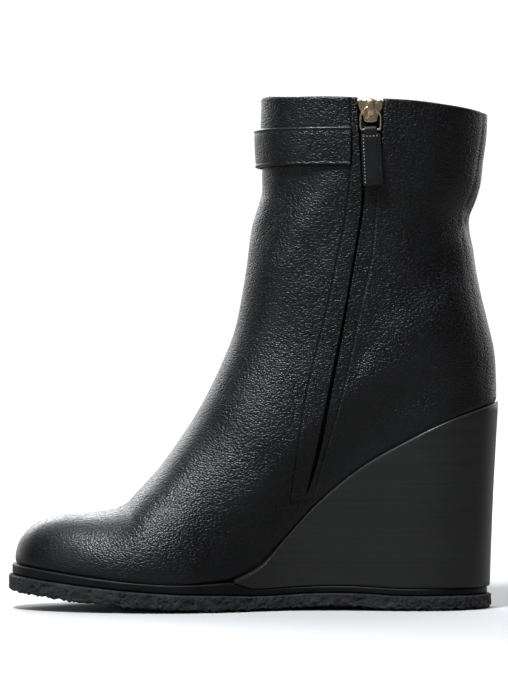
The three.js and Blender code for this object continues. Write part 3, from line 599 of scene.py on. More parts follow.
def grid_normals(points):
    """Unit normals of a grid of points, from the differences along its rows and columns."""
    down = np.gradient(points, axis=0)
    across = np.gradient(points, axis=1)
    return unit(np.cross(across, down))


def sweep(path, side, lift, profile, closed):
    """Carries a closed profile along a path: each profile point is (share of side, share of lift)."""
    ring = path[:, None] + side[:, None] * profile[None, :, :1] + lift[:, None] * profile[None, :, 1:]
    count = len(profile)
    points = ring.reshape(-1, 3)
    if closed:
        quads = grid_quads(len(path) + 1, count, closed=True) % len(points)
        return points, quads, np.zeros((0, 3), int)
    quads = grid_quads(len(path), count, closed=True)
    ends = np.concatenate([points, path[:1], path[-1:]])
    j = np.arange(count)
    after = (j + 1) % count
    foot = np.column_stack([np.full(count, len(points)), after, j])
    last = len(points) - count
    head = np.column_stack([np.full(count, len(points) + 1), last + j, last + after])
    return ends, quads, np.concatenate([foot, head])


def superellipse(count, power, half_width=1.0, half_height=1.0):
    """A closed outline between an ellipse (power 2) and a rectangle (large power)."""
    angle = np.linspace(0, 2 * math.pi, count, endpoint=False)
    c, s = np.cos(angle), np.sin(angle)
    return np.column_stack([
        half_width * np.sign(c) * np.abs(c) ** (2 / power),
        half_height * np.sign(s) * np.abs(s) ** (2 / power),
    ])


def closed_curve(points, count):
    """A smooth closed outline: Catmull-Rom through the points, evenly sampled by length."""
    points = np.array(points, float)
    t = np.arange(0, len(points), 1 / 24)
    i = t.astype(int)
    s = (t - i)[:, None]
    before, start = points[i - 1], points[i]
    end, after = points[(i + 1) % len(points)], points[(i + 2) % len(points)]
    curve = 0.5 * (
        2 * start + (end - before) * s + (2 * before - 5 * start + 4 * end - after) * s**2
        + (3 * start - before - 3 * end + after) * s**3
    )
    loop = np.concatenate([curve, curve[:1]])
    lengths = run_lengths(loop)
    at = np.linspace(0, lengths[-1], count, endpoint=False)
    return np.stack([np.interp(at, lengths, loop[:, k]) for k in range(loop.shape[1])], -1)


def pillow(outline, thickness, rounding, crown=0.0):
    """A plate on an outline: rings drawn in towards its middle, with rounded rims and crowned faces.

    Gives points (across, up, out) with out from 0 to the thickness, and quads.
    """
    centre = outline.mean(0)
    reach = np.abs(outline - centre).max()
    angle = np.linspace(0, math.pi / 2, 6)
    rim_in = rounding * (1 - np.cos(angle)) / reach
    rim_out = rounding * np.sin(angle)
    inner = np.linspace(1 - rim_in[-1], 0.0, 9)[1:]
    low = [(share, 0.0) for share in inner[::-1]]
    rise = [(1 - i, rounding - o) for i, o in zip(rim_in[::-1], rim_out[::-1])]
    fall = [(1 - i, thickness - rounding + o) for i, o in zip(rim_in, rim_out)]
    high = [(share, thickness + crown * (1 - (share / inner[0]) ** 2)) for share in inner]
    rings = np.array(low + rise + fall + high)
    flat = centre + (outline - centre)[None] * rings[:, 0][:, None, None]
    out = np.broadcast_to(rings[:, 1][:, None, None], (len(rings), len(outline), 1))
    points = np.concatenate([flat, out], -1).reshape(-1, 3)
    return points, grid_quads(len(rings), len(outline), closed=True)


def repeat(points, quads, triangles, places, frames):
    """Copies of one small shape: each is turned by its frame (rows: across, up, out) and moved."""
    copies = np.einsum("pk,nkd->npd", points, frames) + places[:, None]
    offsets = (np.arange(len(places)) * len(points))[:, None, None]
    quads = (quads[None] + offsets).reshape(-1, 4)
    triangles = (triangles[None] + offsets).reshape(-1, 3) if len(triangles) else triangles
    return copies.reshape(-1, 3), quads, triangles


STITCH_SIDES = 6
STITCH_STEP = 0.3


def stitch_shape(length, width, height):
    """One stitch: a slim ellipsoid of 6 by 5 faces, half sunk."""
    turn = np.linspace(0, math.pi, STITCH_SIDES)[:, None]
    round_angle = np.linspace(0, 2 * math.pi, STITCH_SIDES, endpoint=False)[None]
    radius = np.sin(turn) ** 0.7
    x = np.repeat(-np.cos(turn) * length / 2, STITCH_SIDES, 1)
    y = radius * np.cos(round_angle) * width / 2
    z = radius * np.sin(round_angle) * height
    points = np.stack([x, y, z], -1).reshape(-1, 3)
    return points, grid_quads(STITCH_SIDES, STITCH_SIDES, closed=True)


def read_at(at, lengths, line):
    """Points of a line in space at lengths along it."""
    return np.stack([np.interp(at, lengths, line[:, k]) for k in range(3)], -1)


def put_stitches(name, line, normals, stitch, material, body, slot):
    """A row of stitches (pitch, length, width, height) along a line that lies on the surface."""
    pitch, *size = stitch
    lengths = run_lengths(line)
    count = int(lengths[-1] / pitch)
    at = (np.arange(count) + 0.5) * lengths[-1] / count
    out = unit(read_at(at, lengths, normals))
    along = unit(read_at(at + STITCH_STEP, lengths, line) - read_at(at - STITCH_STEP, lengths, line))
    frames = np.stack([along, unit(np.cross(out, along)), out], 1)
    points, quads = stitch_shape(*size)
    points, quads, triangles = repeat(
        points, quads, np.zeros((0, 3), int), read_at(at, lengths, line), frames,
    )
    return put_mesh(name, points, quads, triangles, material, body)


# Shader nodes

def feed(tree, node, inputs):
    """Feeds a node's inputs: a socket is linked, and a number or colour becomes the constant."""
    for key, value in inputs.items():
        if isinstance(value, bpy.types.NodeSocket):
            tree.links.new(value, node.inputs[key])
        else:
            node.inputs[key].default_value = value
    return node


def add(tree, kind, inputs=None, **settings):
    """Adds a node with its settings, and feeds its inputs."""
    node = tree.nodes.new(kind)
    for key, value in settings.items():
        setattr(node, key, value)
    return feed(tree, node, inputs or {})


def math_node(tree, operation, first, second, third=0.0):
    """One step of arithmetic on numbers or sockets."""
    node = add(tree, "ShaderNodeMath", {0: first, 1: second, 2: third}, operation=operation)
    return node.outputs[0]


def vector_node(tree, operation, first, second, third=(0.0, 0.0, 0.0)):
    """One step of vector arithmetic."""
    node = add(tree, "ShaderNodeVectorMath", {0: first, 1: second, 2: third}, operation=operation)
    return node.outputs[0]


def spread(tree, value, low, high, out_low=0.0, out_high=1.0):
    """Smooth map of a value's range onto another."""
    inputs = {"Value": value, "From Min": low, "From Max": high, "To Min": out_low, "To Max": out_high}
    return add(tree, "ShaderNodeMapRange", inputs, interpolation_type="SMOOTHSTEP").outputs["Result"]


def tint(tree, share, low, high):
    """A colour between two, by a share."""
    node = add(tree, "ShaderNodeMix", {"Factor": share, "A": low, "B": high}, data_type="RGBA")
    return node.outputs["Result"]


def noise(tree, place, scale, detail, **more):
    """Fractal noise; more names further inputs, such as Roughness."""
    inputs = {"Vector": place, "Scale": scale, "Detail": detail, **more}
    return add(tree, "ShaderNodeTexNoise", inputs).outputs


def mapped(tree, place, scale=(1.0, 1.0, 1.0), turn=(0.0, 0.0, 0.0)):
    """Object coordinates turned and scaled, so that a pattern runs with the piece."""
    inputs = {"Vector": place, "Rotation": turn, "Scale": scale}
    return add(tree, "ShaderNodeMapping", inputs).outputs["Vector"]


def in_sizes(tree, vector, size):
    """Coordinates in metres, counted in a size that is given in mm."""
    per_size = math_node(tree, "DIVIDE", 1 / MM, size)
    node = add(tree, "ShaderNodeVectorMath", {0: vector, "Scale": per_size}, operation="SCALE")
    return node.outputs[0]


def new_group(name, inputs, outputs):
    """A node group with named sockets; gives the group, what it is given and the node of its results."""
    group = bpy.data.node_groups.new(name, "ShaderNodeTree")
    kinds = {"value": "NodeSocketFloat", "vector": "NodeSocketVector"}
    for label, kind, start in inputs:
        socket = group.interface.new_socket(name=label, in_out="INPUT", socket_type=kinds[kind])
        if start is not None:
            socket.default_value = start
    for label in outputs:
        group.interface.new_socket(name=label, in_out="OUTPUT", socket_type=kinds["value"])
    return group, group.nodes.new("NodeGroupInput").outputs, group.nodes.new("NodeGroupOutput")


def pebble_group():
    """Pebbled leather grain: domes a set size in mm apart, bent by noise, with creases between them."""
    inputs = [("Vector", "vector", None), ("Cell", "value", 1.0), ("Stretch", "vector", (1.0, 1.0, 1.0))]
    group, given, result = new_group("pebble_grain", inputs, ["Height", "Crease"])
    cells = in_sizes(group, vector_node(group, "MULTIPLY", given["Vector"], given["Stretch"]), given["Cell"])
    shift = vector_node(group, "SUBTRACT", noise(group, cells, 0.55, 1.0)["Color"], (0.5, 0.5, 0.5))
    bent = vector_node(group, "MULTIPLY_ADD", shift, (0.6, 0.6, 0.6), cells)
    pebble = add(group, "ShaderNodeTexVoronoi", {"Vector": bent, "Scale": 1.0}, feature="F1")
    away = pebble.outputs["Distance"]
    dome = math_node(group, "MULTIPLY", math_node(group, "MULTIPLY", away, away), -1.3)
    height = math_node(group, "MULTIPLY_ADD", noise(group, cells, 2.6, 1.0)["Fac"], 0.12, dome)
    feed(group, result, {"Height": height, "Crease": spread(group, away, 0.45, 0.75)})
    return group


def wear_group():
    """Slow changes over the surface: handling marks about as wide as Size, in mm, and fine dust."""
    inputs = [("Vector", "vector", None), ("Size", "value", 12.0)]
    group, given, result = new_group("slow_wear", inputs, ["Cloud", "Speck"])
    placed = in_sizes(group, given["Vector"], given["Size"])
    cloud = spread(group, noise(group, placed, 1.0, 3.0)["Fac"], 0.3, 0.7)
    speck = spread(group, noise(group, placed, 19.0, 1.0)["Fac"], 0.62, 0.78)
    feed(group, result, {"Cloud": cloud, "Speck": speck})
    return group


def crumb_group():
    """Crepe rubber: torn crumbs about as wide as Crumb, in mm, with pits among them."""
    inputs = [("Vector", "vector", None), ("Crumb", "value", 1.6)]
    group, given, result = new_group("crepe_crumb", inputs, ["Height", "Pit"])
    placed = in_sizes(group, given["Vector"], given["Crumb"])
    lumps = noise(group, placed, 1.0, 5.0, Roughness=0.72)["Fac"]
    pits = add(group, "ShaderNodeTexVoronoi", {"Vector": placed, "Scale": 1.3}, feature="F1")
    hole = spread(group, pits.outputs["Distance"], 0.05, 0.42, 1.0, 0.0)
    feed(group, result, {"Height": math_node(group, "MULTIPLY_ADD", hole, -0.55, lumps), "Pit": hole})
    return group


PEBBLE = pebble_group()
WEAR = wear_group()
CRUMB = crumb_group()


def use_group(tree, group, inputs):
    """Places a shared effect in a material and gives its outputs."""
    return add(tree, "ShaderNodeGroup", inputs, node_tree=group).outputs


# Materials

def start_material(name):
    """A material with a Principled BSDF; gives the material, its tree, the shader and the coordinates."""
    material = bpy.data.materials.new(name)
    material.use_nodes = True
    tree = material.node_tree
    shader = tree.nodes["Principled BSDF"]
    place = add(tree, "ShaderNodeTexCoord").outputs["Object"]
    return material, tree, shader, place


def finish(tree, shader, height, relief, inputs):
    """Feeds the shader's inputs, and its normal from a height times a relief in mm."""
    bump = add(tree, "ShaderNodeBump", {"Height": height, "Distance": relief * MM, "Strength": 1.0})
    feed(tree, shader, {**inputs, "Normal": bump.outputs["Normal"]})


def leather(name, colours, cell, stretch, turn, relief, rough, coat, smooth_attribute=None):
    """Pebbled leather: colour and roughness follow the grain's creases and slow wear; the darker creases are
    painted shade.
    """
    material, tree, shader, place = start_material(name)
    turned = mapped(tree, place, turn=turn)
    grain = use_group(tree, PEBBLE, {"Vector": turned, "Cell": cell, "Stretch": stretch})
    wear = use_group(tree, WEAR, {"Vector": place, "Size": 14.0})
    # Painted shade: the colour darkens in the creases between the pebbles.
    crease_shade = math_node(tree, "MULTIPLY_ADD", grain["Crease"], -0.5, 0.5)
    tone = math_node(tree, "MULTIPLY_ADD", wear["Cloud"], 0.5, crease_shade)
    polish = math_node(tree, "MULTIPLY_ADD", grain["Crease"], 0.16, rough)
    height = grain["Height"]
    if smooth_attribute:
        plain = add(tree, "ShaderNodeAttribute", attribute_name=smooth_attribute).outputs["Fac"]
        height = math_node(tree, "MULTIPLY", height, plain)
    finish(tree, shader, height, relief, {
        "Base Color": tint(tree, tone, *colours),
        "Roughness": math_node(tree, "MULTIPLY_ADD", wear["Cloud"], 0.07, polish),
        "Coat Weight": coat,
        "Coat Roughness": 0.3,
    })
    return material


def polished_stack():
    """Black stacked leather, waxed: fine level lines of uneven depth and gloss."""
    material, tree, shader, place = start_material("waxed_black_stack")
    lines = noise(tree, mapped(tree, place, (9.0, 9.0, 1500.0)), 1.0, 3.0, Roughness=0.6)["Fac"]
    bands = noise(tree, mapped(tree, place, (5.0, 5.0, 330.0)), 1.0, 1.0)["Fac"]
    wear = use_group(tree, WEAR, {"Vector": place, "Size": 22.0})
    both = math_node(tree, "MULTIPLY_ADD", lines, 0.8, math_node(tree, "MULTIPLY", bands, 0.3))
    share = spread(tree, both, 0.3, 0.8)
    finish(tree, shader, both, 0.02, {
        "Base Color": tint(tree, share, (0.013, 0.013, 0.0132, 1), (0.022, 0.0218, 0.0215, 1)),
        "Roughness": math_node(tree, "MULTIPLY_ADD", wear["Cloud"], 0.1, 0.36),
        "Coat Weight": 0.15,
        "Coat Roughness": 0.25,
    })
    return material


def waxed_edge():
    """Smooth painted midsole band with faint lengthwise trimming lines."""
    material, tree, shader, place = start_material("painted_midsole")
    lines = noise(tree, mapped(tree, place, (30.0, 30.0, 1400.0)), 1.0, 2.0)["Fac"]
    wear = use_group(tree, WEAR, {"Vector": place, "Size": 9.0})
    dust = math_node(tree, "MULTIPLY", wear["Speck"], 0.3)
    tone = math_node(tree, "MULTIPLY_ADD", wear["Cloud"], 0.6, dust)
    finish(tree, shader, lines, 0.12, {
        "Base Color": tint(tree, tone, (0.0015, 0.0015, 0.0018, 1), (0.006, 0.006, 0.007, 1)),
        "Roughness": math_node(tree, "MULTIPLY_ADD", wear["Cloud"], 0.16, 0.46),
        "Specular IOR Level": 0.3,
    })
    return material


def crepe_rubber():
    """Crumbly black crepe rubber, greyer on its torn high spots; its darker pits are painted shade."""
    material, tree, shader, place = start_material("black_crepe")
    crumb = use_group(tree, CRUMB, {"Vector": place, "Crumb": 1.2})
    fine = use_group(tree, CRUMB, {"Vector": place, "Crumb": 0.5})
    wear = use_group(tree, WEAR, {"Vector": place, "Size": 8.0})
    cloudy = math_node(tree, "MULTIPLY", wear["Cloud"], 0.35)
    # Colour follows the crumbs' height: painted shade in the pits, greyer on the high spots.
    share = spread(tree, math_node(tree, "MULTIPLY_ADD", fine["Height"], 0.7, cloudy), 0.1, 0.9)
    height = math_node(tree, "MULTIPLY_ADD", fine["Height"], 0.4, crumb["Height"])
    finish(tree, shader, height, 0.7, {
        "Base Color": tint(tree, share, (0.003, 0.003, 0.0034, 1), (0.042, 0.042, 0.046, 1)),
        "Roughness": spread(tree, crumb["Pit"], 0.0, 1.0, 0.72, 0.95),
    })
    return material


def polished_metal(name, dark, light, rough):
    """Plated metal with fine polishing marks."""
    material, tree, shader, place = start_material(name)
    marks = noise(tree, mapped(tree, place, (3000.0, 3000.0, 500.0), (0.2, 0.5, 0.0)), 1.0, 1.0)["Fac"]
    wear = use_group(tree, WEAR, {"Vector": place, "Size": 3.0})
    finish(tree, shader, marks, 0.01, {
        "Base Color": tint(tree, wear["Cloud"], dark, light),
        "Roughness": math_node(tree, "MULTIPLY_ADD", marks, 0.1, rough),
        "Metallic": 1.0,
    })
    return material


# A wave texture turns by this many radians over one unit of its scaled coordinates
WAVE_RADIANS = 20


def woven(name, dark, light, run, relief):
    """Fine woven cloth or thread: crossing waves that turn by one radian over each run, in mm."""
    material, tree, shader, place = start_material(name)
    waves = {"Vector": place, "Scale": 1 / (MM * run) / WAVE_RADIANS, "Distortion": 0.4}
    warp = add(tree, "ShaderNodeTexWave", waves, bands_direction="X").outputs["Fac"]
    weft = add(tree, "ShaderNodeTexWave", waves, bands_direction="Z").outputs["Fac"]
    both = math_node(tree, "MULTIPLY", warp, weft)
    wear = use_group(tree, WEAR, {"Vector": place, "Size": 5.0})
    finish(tree, shader, both, relief, {
        "Base Color": tint(tree, math_node(tree, "MULTIPLY_ADD", wear["Cloud"], 0.3, both), dark, light),
        "Roughness": spread(tree, wear["Cloud"], 0.0, 1.0, 0.75, 0.9),
    })
    return material


def shearling():
    """Short curly pile: darker between the curls, which is painted shade, with a soft sheen."""
    material, tree, shader, place = start_material("dark_shearling")
    curl = noise(tree, place, 420.0, 4.0, Roughness=0.65, Distortion=1.2)["Fac"]
    wear = use_group(tree, WEAR, {"Vector": place, "Size": 10.0})
    # Painted shade: the colour darkens between the curls.
    share = spread(tree, math_node(tree, "MULTIPLY_ADD", wear["Cloud"], 0.25, curl), 0.35, 0.95)
    finish(tree, shader, curl, 1.2, {
        "Base Color": tint(tree, share, (0.012, 0.0115, 0.0115, 1), (0.075, 0.07, 0.068, 1)),
        "Roughness": spread(tree, curl, 0.3, 0.7, 0.95, 0.8),
        "Sheen Weight": 0.35,
        "Sheen Roughness": 0.5,
    })
    return material


BLACK = [(0.001, 0.001, 0.0012, 1), (0.004, 0.0042, 0.0054, 1)]
TAB_BLACK = [(0.0012, 0.0013, 0.0017, 1), (0.005, 0.0053, 0.007, 1)]
upper_leather = leather(
    "pebbled_black_leather", BLACK, cell=0.82, stretch=(0.68, 0.68, 1.1), turn=(0.0, -0.12, 0.0),
    relief=0.22, rough=0.27, coat=0.04, smooth_attribute="grain",
)
strap_leather = leather(
    "strap_black_leather", BLACK, cell=0.82, stretch=(0.68, 0.68, 1.15), turn=(0.0, 0.1, 0.0),
    relief=0.22, rough=0.27, coat=0.05, smooth_attribute="grain",
)
tab_leather = leather(
    "smooth_tab_leather", TAB_BLACK, cell=0.45, stretch=(1.0, 1.0, 1.0), turn=(0.0, 0.0, 0.0),
    relief=0.03, rough=0.36, coat=0.1,
)
wedge_stack = polished_stack()
midsole_paint = waxed_edge()
crepe = crepe_rubber()
pale_gold = polished_metal("pale_gold", (0.86, 0.65, 0.43, 1), (0.96, 0.78, 0.56, 1), 0.22)
pile = shearling()
tape_cloth = woven("black_zip_tape", (0.004, 0.004, 0.0045, 1), (0.014, 0.014, 0.015, 1), 0.7, 0.1)
black_coil = woven("black_nylon_coil", (0.006, 0.006, 0.007, 1), (0.02, 0.02, 0.022, 1), 0.35, 0.05)
dark_thread = woven("black_thread", (0.002, 0.002, 0.003, 1), (0.012, 0.0125, 0.014, 1), 0.3, 0.04)
# Painted highlight: a grey copy of the black thread, for the tab's rows that face the light.
thread_painted_highlight = woven("thread_painted_highlight", (0.3, 0.31, 0.32, 1), (0.6, 0.61, 0.62, 1), 0.3, 0.04)


# Upper

# Columns between the marks of column_angles(), and rings below and above the slit's foot
COLUMN_COUNTS = (20, 16, 52, 16, 12, 148, 76, 16, 20)
UPPER_COLUMNS = sum(COLUMN_COUNTS)
COLUMN_STEP = 4
RING_STEP = 6
SEAM_BORDER = 6.5
BACK_SEAM_ANGLE = 0.33
LOW_RINGS = 12
HIGH_RINGS = 210
EDGE_RADIUS = 0.9
ROLL = np.linspace(0, math.pi / 2, 5)[1:]
EDGE_OVERHANG = 0.35
EDGE_SETBACK = 0.006
COLLAR_RIM = 0.005
TUCK_HEIGHT = 2.4
TUCK_DEPTH = 0.8
TUCK_DROP = 0.55
FOLDS_FADE = 5.0
SIDE_BLEND = 12.0
MIDDLE_BLEND = 6.0
HALVINGS = 40
SLIT_SEARCH = (0.15 * math.pi, 0.85 * math.pi)

# Soft folds of the inner side: ends (x, z), width and height in mm; those of the outer side below
INNER_FOLDS = [
    (35.9, 200.8, 12.0, 166.0, 8.0, 0.9), (12.0, 166.0, 3.0, 132.0, 9.0, 0.6),
    (22.1, 206.0, 4.0, 182.0, 6.0, -0.8), (103.0, 190.0, 84.0, 153.0, 12.0, -2.0),
    (88.8, 148.5, 56.4, 111.3, 13.0, 1.5), (51.6, 123.7, 45.9, 110.4, 4.0, -0.7),
    (67.4, 99.0, 81.6, 104.7, 4.5, -0.5), (100.0, 236.0, 66.0, 224.0, 14.0, 0.7),
    (-20.0, 88.0, 2.0, 70.0, 9.0, -0.5), (-34.0, 74.0, -12.0, 52.0, 8.0, 0.4),
]
OUTER_FOLDS = [
    (102.0, 188.0, 70.0, 170.0, 12.0, -1.6), (60.0, 196.0, 20.0, 176.0, 10.0, 0.9),
    (92.0, 150.0, 50.0, 128.0, 13.0, 1.2), (30.0, 150.0, 6.0, 128.0, 9.0, -0.7),
    (-14.0, 90.0, 10.0, 70.0, 9.0, -0.6),
]


def fold_relief(x, z, folds):
    """Sum of soft ridges and troughs: each a bell curve of the distance from its line."""
    total = np.zeros_like(x)
    for x0, z0, x1, z1, width, height in folds:
        along_x, along_z = x1 - x0, z1 - z0
        share = ((x - x0) * along_x + (z - z0) * along_z) / (along_x**2 + along_z**2)
        held = np.clip(share, 0, 1)
        away = np.hypot(x - x0 - held * along_x, z - z0 - held * along_z)
        total += height * np.exp(-((away / width) ** 2))
    return total


def groove(away, width, depth):
    """A narrow sunk line: a bell curve of the distance from it."""
    return -depth * np.exp(-((away / width) ** 2))


ZIP_TOP = BOOT_HEIGHT - ZIP_BELOW_COLLAR
FACING_FOOT = 51.4
FOOT_SLOPE = 0.15
FACING_SWELL = 0.2
FACING_REACH = 5.0

# Sunk lines: width and depth
SEAM_GROOVE = (0.42, 0.34)
CROSS_GROOVE = (0.6, 0.5)
TAIL_GROOVE = (0.45, 0.4)
BACK_GROOVE = (0.75, 0.3)

# The seam's rough distance from the back line, and the height below which it is faint, over the counter
BACK_SEAM_OFFSET = 6.0
COUNTER_TOP = (170.0, 14.0)
COUNTER_FAINT = 0.35

# The short seam under the zip: how far it lies behind the facing's corner at a height, and its lean
TAIL_BEHIND = 3.9
TAIL_HEIGHT = 49.5
TAIL_LEAN = 0.28


def front_seam_x(z):
    """Seam of the front facing."""
    return place_along(seam_front(slit_share(z)))


def rear_seam_x(z):
    """Seam of the rear facing."""
    return place_along(seam_rear(slit_share(z)))


FACING_CORNER = float(front_seam_x(FACING_FOOT))


def above_foot(x, z):
    """Height over the cross seam under the zip."""
    return z - FACING_FOOT - FOOT_SLOPE * (x - FACING_CORNER)


def inner_relief(x, z):
    """Folds, seams and flaps of the inner side, in mm outwards."""
    relief = fold_relief(x, z, INNER_FOLDS)
    over = above_foot(x, z)
    band = ramp(over, -0.6, 1.2)
    ahead = x - front_seam_x(z)
    behind = x - rear_seam_x(z)
    for away, way in ((ahead, -1.0), (behind, 1.0)):
        relief += groove(away, *SEAM_GROOVE) * band
        swell = FACING_SWELL * smooth(way * away / 0.8)
        relief += swell * np.exp(-((away / FACING_REACH) ** 2)) * band
    relief += groove(over, *CROSS_GROOVE) * smooth(ahead + 0.5) * smooth(0.5 - behind)
    tail = x - (FACING_CORNER + TAIL_BEHIND) - TAIL_LEAN * (z - TAIL_HEIGHT)
    relief += groove(tail, *TAIL_GROOVE) * smooth(0.4 - over)
    return relief


def back_seam_relief(angle, z):
    """The fine seam beside the back line: plain down to the counter, faint below."""
    away = (angle - (math.pi - BACK_SEAM_ANGLE)) / BACK_SEAM_ANGLE * BACK_SEAM_OFFSET
    return groove(away, *BACK_GROOVE) * mix(COUNTER_FAINT, 1.0, ramp(z, *COUNTER_TOP))


# Share of the grain that stays where the leather is pulled smooth: over the toe, and at the feather
TOE_GRAIN = 0.22
FEATHER_GRAIN = 0.35
TOE_PULLED = (0.02, 0.24)
FEATHER_PULLED = 16.0


def grain_share(x, z):
    """How strongly the grain stands: pulled smooth over the toe and along the feather."""
    start, run = TOE_PULLED
    toe = ramp(x, place_along(start), run * BOOT_LENGTH)
    feather = smooth((z - feather_height(x)) / FEATHER_PULLED)
    return np.clip(TOE_GRAIN + (1 - TOE_GRAIN) * toe * mix(FEATHER_GRAIN, 1.0, feather), 0, 1)


def slit_angle(v, edge_x):
    """Angle on the inner side at which a ring meets an edge of the slit, by halving."""
    low, high = (np.full(v.shape, end) for end in SLIT_SEARCH)
    for _ in range(HALVINGS):
        angle = (low + high) / 2
        side = side_point((1 - np.cos(angle)) / 2, v)
        before = side[..., 0] < edge_x(side[..., 1])
        low = np.where(before, angle, low)
        high = np.where(before, high, angle)
    return (low + high) / 2


def slit_foot_share():
    """The share v of the ring that meets the slit's foot, by halving."""
    low, high = 0.0, 0.5
    for _ in range(HALVINGS):
        v = np.array([(low + high) / 2])
        angle = slit_angle(v, slit_front_x)
        side = side_point((1 - np.cos(angle)) / 2, v)
        if side[0, 1] < SLIT_FOOT:
            low = v[0]
        else:
            high = v[0]
    return (low + high) / 2


def column_angles(v, start, end):
    """Angle of each column on each ring, evenly between the slit, the seams, the back and the front."""
    behind = slit_angle(v, rear_seam_x)
    far_behind = slit_angle(v, lambda z: rear_seam_x(z) + SEAM_BORDER)
    ahead = slit_angle(v, front_seam_x) + 2 * math.pi
    far_ahead = slit_angle(v, lambda z: front_seam_x(z) - SEAM_BORDER) + 2 * math.pi
    seam = np.full(v.shape, math.pi - BACK_SEAM_ANGLE)
    beside = 0.2 * BACK_SEAM_ANGLE
    back = np.full(v.shape, math.pi)
    marks = [start, behind, far_behind, seam - beside, seam + beside, back, 2 * back, far_ahead, ahead, end]
    spans = zip(marks[:-1], marks[1:], COLUMN_COUNTS)
    parts = [mix(low[:, None], high[:, None], np.arange(count) / count) for low, high, count in spans]
    return np.concatenate([*parts, end[:, None]], 1)


def upper_base():
    """Rings and columns of the upper's plain outer face, from the slit's rear edge round to its front."""
    foot = slit_foot_share()
    low = np.linspace(0, foot, LOW_RINGS + 1)
    high = mix(foot, 1 - COLLAR_RIM, np.linspace(0, 1, HIGH_RINGS + 1)[1:])
    v = np.concatenate([low, high, 1 - COLLAR_RIM + COLLAR_RIM * np.sin(ROLL)])
    is_open = smooth(np.arange(len(v)) - LOW_RINGS)
    front_angle = slit_angle(v, slit_front_x)
    rear_angle = slit_angle(v, slit_rear_x)
    setback = EDGE_SETBACK * is_open * ramp(v, foot, 0.03)
    start = np.where(is_open > 0, rear_angle + setback, front_angle)
    end = front_angle - setback + 2 * math.pi
    angle = column_angles(v, start, end)
    return outer_point(angle, np.broadcast_to(v[:, None], angle.shape)), is_open, v, angle


def upper_relief(base, angle):
    """How far the dressed face stands off the plain one, and how much its lowest strip is tucked in."""
    x, y, z = base[..., 0], base[..., 1], base[..., 2]
    middle, _ = section_at(x, z)
    inner = smooth((middle - y) / SIDE_BLEND + 0.5)
    relief = inner * inner_relief(x, z) + (1 - inner) * fold_relief(x, z, OUTER_FOLDS)
    over = np.maximum(0, z - feather_height(x))
    relief = relief * smooth(over / FOLDS_FADE)
    relief = relief * mix(0.5, 1.0, smooth(np.abs(y - middle) / MIDDLE_BLEND))
    relief += back_seam_relief(angle, z)
    tuck = np.clip(1 - over / TUCK_HEIGHT, 0, 1) ** 2
    return relief - TUCK_DEPTH * tuck, tuck


def rolled_edge(edge, inward, is_open, way):
    """Columns that roll an edge of the slit round a quarter turn and go on through the wall."""
    steps = []
    for turn in ROLL:
        shift = EDGE_RADIUS * EDGE_OVERHANG * math.sin(turn) * is_open * np.array([way, 0.0, 0.0])
        sink = EDGE_RADIUS * (1 - math.cos(turn)) * is_open * inward
        steps.append(edge + shift + sink)
    steps.append(steps[-1] + (WALL - EDGE_RADIUS) * is_open * inward)
    return steps


def build_upper():
    """Leather upper: a fine outer face with rolled edges, closed by a coarser inner face."""
    base, is_open, v, angle = upper_base()
    normal = ring_normals(base, angle)
    relief, tuck = upper_relief(base, angle)
    rings = len(v)
    top_depth = np.zeros((rings, 1))
    top_depth[-len(ROLL):, 0] = EDGE_RADIUS * (1 - np.cos(ROLL))
    skin = base + normal * (relief - top_depth)[..., None]
    skin[..., 2] -= TUCK_DROP * tuck
    left = np.stack(rolled_edge(skin[:, 0], -normal[:, 0], is_open[:, None], -1.0)[::-1], 1)
    right = np.stack(rolled_edge(skin[:, -1], -normal[:, -1], is_open[:, None], 1.0), 1)
    extra = left.shape[1]
    fine = np.concatenate([left, skin, right], 1)
    out = np.pad(normal, ((0, 0), (extra, extra), (0, 0)), "edge")
    on_skin = np.pad(np.ones(UPPER_COLUMNS + 1), extra)[None, :, None]
    rim = fine[-1:] - out[-1:] * (WALL - EDGE_RADIUS) * on_skin
    sole_edge = fine[:1] - out[:1] * (WALL * 0.8)
    fine = np.concatenate([sole_edge, fine, rim], 0)
    row_marks = np.concatenate([np.arange(0, LOW_RINGS + HIGH_RINGS + 1, RING_STEP), [rings - 1]])
    column_marks = np.arange(0, UPPER_COLUMNS + 1, COLUMN_STEP)
    inside = (base - normal * WALL)[row_marks][:, column_marks]
    open_marks = row_marks >= LOW_RINGS
    points, quads, triangles = two_skins(
        fine, inside, row_marks[open_marks] - LOW_RINGS, column_marks + extra,
        slice(LOW_RINGS + 1, None), open_marks,
    )
    grain = np.concatenate([grain_share(fine[..., 0], fine[..., 2]).ravel(), np.ones(inside[..., 0].size)])
    put_mesh("upper_leather", points, quads, triangles, upper_leather, "boot",
             ["upper"], {"grain": grain})


build_upper()


# Sole

def plan_edge(x, start, end, inset, inner_share, outer_share):
    """Edges of the sole's plan: the table's halves, drawn in and rounded at the toe and the heel."""
    along = share_along(x)
    inner = BALL_WIDTH * inner_share(along) - inset
    outer = BALL_WIDTH * outer_share(along) - inset
    toe = round_off((x - start) / (TOE_ROUND * BOOT_LENGTH - inset), TOE_POWER)
    heel = round_off((end - x) / (HEEL_ROUND * BOOT_LENGTH - inset), SIDE_POWER)
    middle = 0.5 * (outer - inner)
    half = 0.5 * (outer + inner) * toe * heel
    return middle - half, middle + half


SOLE_FRONT = place_along(0)
SOLE_BACK = place_along(1) - HEEL_UNDERCUT
CREPE_STATIONS = 760
MIDSOLE_STATIONS = 300
WEDGE_STATIONS = 240
CREPE_ROUND = 0.7
CREPE_DRAWN_IN = 0.35
MIDSOLE_ROUND = 0.35
RECESS_DEPTH = 1.1
RECESS_INSET = 16.0
RIM_WIDTH = 3.0

